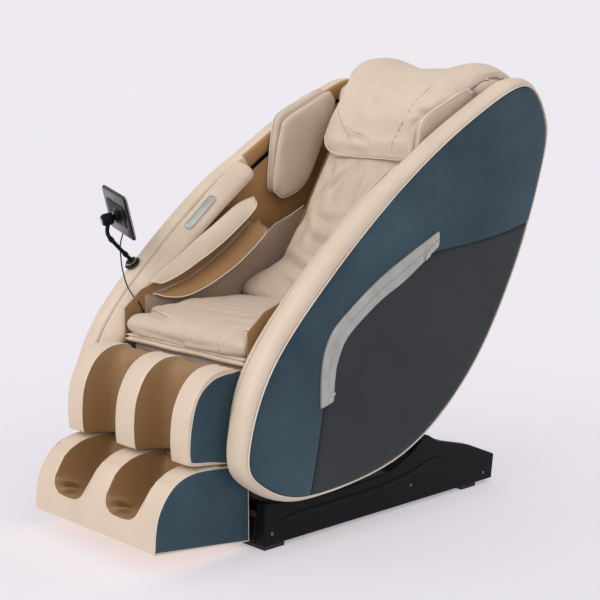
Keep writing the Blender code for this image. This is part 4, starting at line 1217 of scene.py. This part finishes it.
FOOT_SOLE = 0.1105           # height of a well's sole at its front
FOOT_FACE = [(0.052, -0.6500), (0.085, -0.6490), (0.114, -0.6460), (0.138, -0.6390),
             (0.160, -0.6290), (0.186, -0.6110), (0.207, -0.5870), (0.222, -0.5560)]


def foot_face(z):
    """y of the foot rest's front at a height."""
    for (z0, y0), (z1, y1) in zip(FOOT_FACE, FOOT_FACE[1:]):
        if z <= z1:
            return y0 + (y1 - y0) * max(0.0, z - z0) / (z1 - z0)
    return FOOT_FACE[-1][1]


def foot_column(u):
    """One (y, z) line over the foot rest: a ridge when u is None, or a line of a well."""
    lip, dip = 0.2060, 0.0
    if u is not None:
        deep = min(1.0, abs(u) / 0.97)
        lip = FOOT_SOLE + 0.082 * (1 - max(0.0, 1 - deep ** 3.4) ** (1 / 3.4))
        dip = max(0.0, 1 - deep ** 3.0) ** 0.5
    front = foot_face(lip)
    line = [(foot_face(0.052 + (lip - 0.052) * t), 0.052 + (lip - 0.052) * t)
            for t in (0.0, 0.25, 0.5, 0.75, 0.93, 1.0)]
    crown = smooth([(-0.650, lip), (front, lip)] + [(foot_face(z), z) for z in
                   (0.2070, 0.2150, 0.2220) if z > lip + 0.004]
                   + [(-0.5250, 0.2290), (-0.4900, 0.2305), (-0.4560, 0.2290)], 4)[4:]
    crown = resample(crown, 12)
    inner = smooth([(front - 0.002, lip - 0.004), (front, lip), (front + 0.012, lip + 0.002),
                    (front + 0.045, lip - 0.010), (-0.5500, lip - 0.014),
                    (-0.5000, lip - 0.006), (-0.4680, lip + 0.016), (-0.4540, 0.190)], 4)[4:]
    inner = resample(inner, 12)
    line += [tuple(a.lerp(b, dip)) for a, b in zip(crown, inner)][1:]
    top = line[-1][1]
    line += [(-0.4480, top + (0.2240 - top) * t) for t in (0.35, 0.75, 1.0)]
    return line + [(-0.4000, 0.2205), (-0.3585, 0.2130)]


def make_foot():
    """The foot rest: two wells cut down into a rounded block, with creased soles."""
    columns = channel_columns()
    rows = []
    for x, u in columns:
        row = []
        for y, z in foot_column(u):
            proud = ridge_crown(x) * ease((z - 0.120) / 0.07) if u is None else 0.0
            row.append(Vector((x, y, z + proud)))
        row += [Vector((x, -0.3565, 0.150)), Vector((x, -0.3560, 0.018)),
                Vector((x, -0.4600, 0.0300)), Vector((x, -0.5600, 0.0415))]
        rows.append(row)

    # well faces take the darker tan: painted shade down in the wells
    def paint(i, k):
        inside = columns[i][1] is not None and columns[i + 1][1] is not None
        return int(inside and 5 <= k < 19)
    foot = object_of(skin(rows, around=True, caps=True, paint=paint))
    add_modifier(foot, "BEVEL", width=0.0040, segments=3, limit_method="ANGLE",
                 angle_limit=math.radians(48))
    add_modifier(foot, "SUBSURF", levels=2, render_levels=2)
    apply_modifiers(foot)
    for mid in (-CHANNEL_MID, CHANNEL_MID):
        for path, width, depth in (
                ([(-0.066, -0.640, 0.124), (-0.050, -0.603, 0.113), (-0.010, -0.560, 0.105)],
                 0.0080, 0.0085),
                ([(-0.030, -0.640, 0.113), (-0.015, -0.600, 0.108), (0.025, -0.560, 0.104)],
                 0.0060, 0.0060),
                ([(0.010, -0.640, 0.113), (0.028, -0.605, 0.110), (0.058, -0.575, 0.112)],
                 0.0055, 0.0055)):
            fold(foot, smooth([(mid + x, y, z) for x, y, z in path], 3), width, depth, ridge=1.0)
    finish_piece(foot, "foot_cushion", "footrest", ["cream", "tan_shaded"], ["foot_rest"],
                 70.0)
    outline = [(-0.6470, 0.0560), (-0.6465, 0.0700), (-0.6450, 0.0922), (-0.6385, 0.1306),
               (-0.6260, 0.1603), (-0.6045, 0.1900), (-0.5770, 0.2120), (-0.5400, 0.2245),
               (-0.4941, 0.2265), (-0.4142, 0.2190), (-0.3640, 0.2100), (-0.3590, 0.2000),
               (-0.3575, 0.1100), (-0.3580, 0.0280), (-0.3640, 0.0215), (-0.4500, 0.0320),
               (-0.5500, 0.0440), (-0.6400, 0.0550)]
    for side, suffix in SIDES:
        side_cover("foot_side_" + suffix, outline, side, "footrest")
    base = [Vector((LEG_SIDE, -0.360, 0.0195)), Vector((LEG_SIDE, -0.646, 0.0515)),
            Vector((LEG_SIDE - 0.004, -0.6505, 0.0520)),
            Vector((-LEG_SIDE + 0.004, -0.6505, 0.0520)),
            Vector((-LEG_SIDE, -0.646, 0.0515)), Vector((-LEG_SIDE, -0.360, 0.0195))]
    piping("foot_piping_base", base, "footrest", 0.0016)


# ------------------------------------------------------------------ tablet
TABLET_BALL = Vector((-0.3453, -0.3338, 0.7786))
TABLET_ALONG = Vector((0.9396, -0.3289, -0.0950)).normalized()
TABLET_FACE = Vector((0.3423, 0.9071, 0.2450)).normalized()
TABLET_W, TABLET_H, TABLET_D = 0.215, 0.1236, 0.010
TABLET_FOOT = Vector((-0.3350, -0.2640, 0.6490))


def lathe(profile, start, axis, sides=40):
    """A turned piece: (distance along the axis, radius) points."""
    axis = Vector(axis).normalized()
    across = axis.orthogonal().normalized()
    other = axis.cross(across)
    rows = [[Vector(start) + axis * d + across * (r * math.cos(a)) + other * (r * math.sin(a))
             for a in (2 * math.pi * k / sides for k in range(sides))] for d, r in profile]
    return skin(rows, around=True, caps=True)


def make_tablet():
    """The tablet on its ball joint, with the neck that carries it."""
    face = (TABLET_FACE - TABLET_ALONG * TABLET_FACE.dot(TABLET_ALONG)).normalized()
    top = TABLET_ALONG.cross(face)
    middle = TABLET_BALL + face * 0.030 + top * 0.010

    def outline(shrink, corner):
        half_w, half_h = TABLET_W / 2 - shrink, TABLET_H / 2 - shrink
        r = max(0.001, corner - shrink)
        points = []
        for cx, cy, start in ((1, 1, 0), (-1, 1, 90), (-1, -1, 180), (1, -1, 270)):
            for step in range(9):
                a = math.radians(start + 90 * step / 8)
                points.append((cx * (half_w - r) + r * math.cos(a),
                               cy * (half_h - r) + r * math.sin(a)))
        return points

    def slab_of(rings, corner=0.012):
        rows = [[middle + TABLET_ALONG * u + top * v + face * h
                 for u, v in outline(shrink, corner)] for shrink, h in rings]
        return solid(rows)
    half = TABLET_D / 2
    shell = slab_of([(0.0060, -half), (0.0022, -half + 0.0010), (0.0005, -half + 0.0030),
                     (0.0, -half + 0.0050), (0.0, half - 0.0018), (0.0009, half - 0.0004),
                     (0.0022, half)])
    finish_piece(shell, "tablet_shell", "tablet_head", ["gloss"], ["tablet"], 40.0)
    rim = slab_of([(-0.0004, half - 0.0040), (-0.0008, half - 0.0034), (-0.0008, half - 0.0026),
                   (-0.0004, half - 0.0020)])
    finish_piece(rim, "tablet_rim", "tablet_head", ["chrome"], sharp=40.0)
    screen = slab_of([(0.0090, half - 0.0005), (0.0090, half + 0.0004),
                      (0.0098, half + 0.0006), (0.0300, half + 0.0007)], 0.014)
    finish_piece(screen, "tablet_screen", "tablet_head", ["glass"], sharp=40.0)
    plate = slab_of([(0.0300, -half + 0.0005), (0.0300, -half - 0.0008),
                     (0.0312, -half - 0.0016), (0.0500, -half - 0.0018)], 0.036)
    finish_piece(plate, "tablet_back_plate", "tablet_head", ["black"], sharp=40.0)
    hub = object_of(lathe([(0.0135, 0.0060), (0.0150, 0.0105), (0.0158, 0.0180),
                           (0.0176, 0.0190), (0.0205, 0.0190), (0.0222, 0.0240),
                           (0.0248, 0.0240), (0.0252, 0.0200)], TABLET_BALL, face))
    finish_piece(hub, "tablet_hub", "tablet_head", ["gloss"], ["tablet_clamp"],
                 35.0)
    knob = object_of(lathe([(-0.0215, 0.0020), (-0.0212, 0.0120), (-0.0190, 0.0150),
                            (-0.0120, 0.0163), (0.0040, 0.0168), (0.0100, 0.0150),
                            (0.0122, 0.0100), (0.0126, 0.0040)], TABLET_BALL, face, 48))
    finish_piece(knob, "neck_knob", "pod", ["black"], sharp=35.0)
    cap = object_of(lathe([(-0.0222, 0.0), (-0.0222, 0.0060), (-0.0217, 0.0072),
                           (-0.0205, 0.0074)], TABLET_BALL, face))
    finish_piece(cap, "neck_knob_cap", "pod", ["chrome"], sharp=35.0)
    for k in range(12):
        a = 2 * math.pi * k / 12
        side = TABLET_ALONG * math.cos(a) + top * math.sin(a)
        start = TABLET_BALL + side * 0.0162
        piping(f"neck_knob_rib_{k:02d}", [start - face * 0.015, start, start + face * 0.004],
               "pod", 0.0016, look="black", sides=6)

    bend = smooth([TABLET_FOOT + Vector((0, -0.001, 0.006)),
                   TABLET_FOOT + Vector((-0.002, -0.020, 0.026)),
                   TABLET_FOOT + Vector((-0.006, -0.050, 0.056)),
                   TABLET_BALL + Vector((0, -0.006, -0.040)), TABLET_BALL], 8)
    neck = object_of(tube(bend, 0.0057, sides=20))
    finish_piece(neck, "neck_stalk", "pod", ["gloss"], ["tablet_neck"], 60.0)
    out = Vector((0.0, -0.62, 0.78))
    foot = object_of(lathe([(0.0012, 0.0215), (0.0022, 0.0225), (0.0050, 0.0225),
                            (0.0062, 0.0210), (0.0070, 0.0165), (0.0110, 0.0150),
                            (0.0150, 0.0135), (0.0166, 0.0100), (0.0172, 0.0060)],
                           TABLET_FOOT, out, 48))
    finish_piece(foot, "neck_foot", "pod", ["gloss"], sharp=30.0)
    ring = object_of(lathe([(0.0100, 0.0152), (0.0104, 0.0172), (0.0122, 0.0172),
                            (0.0126, 0.0145)], TABLET_FOOT, out, 48))
    finish_piece(ring, "neck_foot_ring", "pod", ["chrome"], sharp=30.0)
    for share in (0.30, 0.62):
        here = bend[int(len(bend) * share)]
        run = (bend[int(len(bend) * share) + 1] - here).normalized()
        collar = object_of(lathe([(-0.006, 0.0058), (-0.005, 0.0074), (0.005, 0.0074),
                                  (0.006, 0.0058)], here, run, 24))
        finish_piece(collar, f"neck_collar_{int(share * 100)}", "pod", ["black"], sharp=40.0)


# ------------------------------------------------------------------ base details
def make_base_details():
    """The long raised crease along each base cover, and screws."""
    for side, suffix in SIDES:
        line = smooth([(-0.300, 0.052), (-0.285, 0.066), (-0.240, 0.073), (-0.120, 0.074),
                       (0.060, 0.078), (0.180, 0.092), (0.262, 0.112), (0.330, 0.110),
                       (0.430, 0.082), (0.530, 0.050)], 6)
        rows = []
        for i, p in enumerate(line):
            share = i / (len(line) - 1)
            r = 0.0048 * math.sin(math.pi * min(1.0, share * 1.02)) ** 0.4 + 0.0003
            rows.append([side_point(side, 0.2995 + r * 0.75 * max(-0.2, math.sin(a)),
                                    (p.x, p.y + r * 1.5 * math.cos(a)))
                         for a in (2 * math.pi * k / 12 for k in range(12))])
        crease = solid(rows)
        finish_piece(crease, "base_crease_" + suffix, "base", ["black"], sharp=70.0)
        for y, z in ((-0.320, 0.040), (0.190, 0.060), (0.500, 0.034)):
            screw = object_of(lathe([(-0.001, 0.0042), (0.0008, 0.0042), (0.0016, 0.0034),
                                     (0.0017, 0.0016), (0.0007, 0.0014)],
                                    (side * 0.300, y, z), (side, 0, 0), 24))
            finish_piece(screw, f"base_screw_{suffix}_{int(1000 * abs(y))}", "base",
                         ["steel"], sharp=30.0)


# ------------------------------------------------------------------ run
make_camera()
make_studio()
make_cable()
make_shells()
make_airbags()
make_seat()
make_back()
make_pillow()
make_calf()
make_foot()
make_tablet()
make_base_details()

for look, names in NODE_LOOKS.items():
    for name in names:
        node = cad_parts[name]
        node.data.materials.clear()
        node.data.materials.append(LOOKS[look])
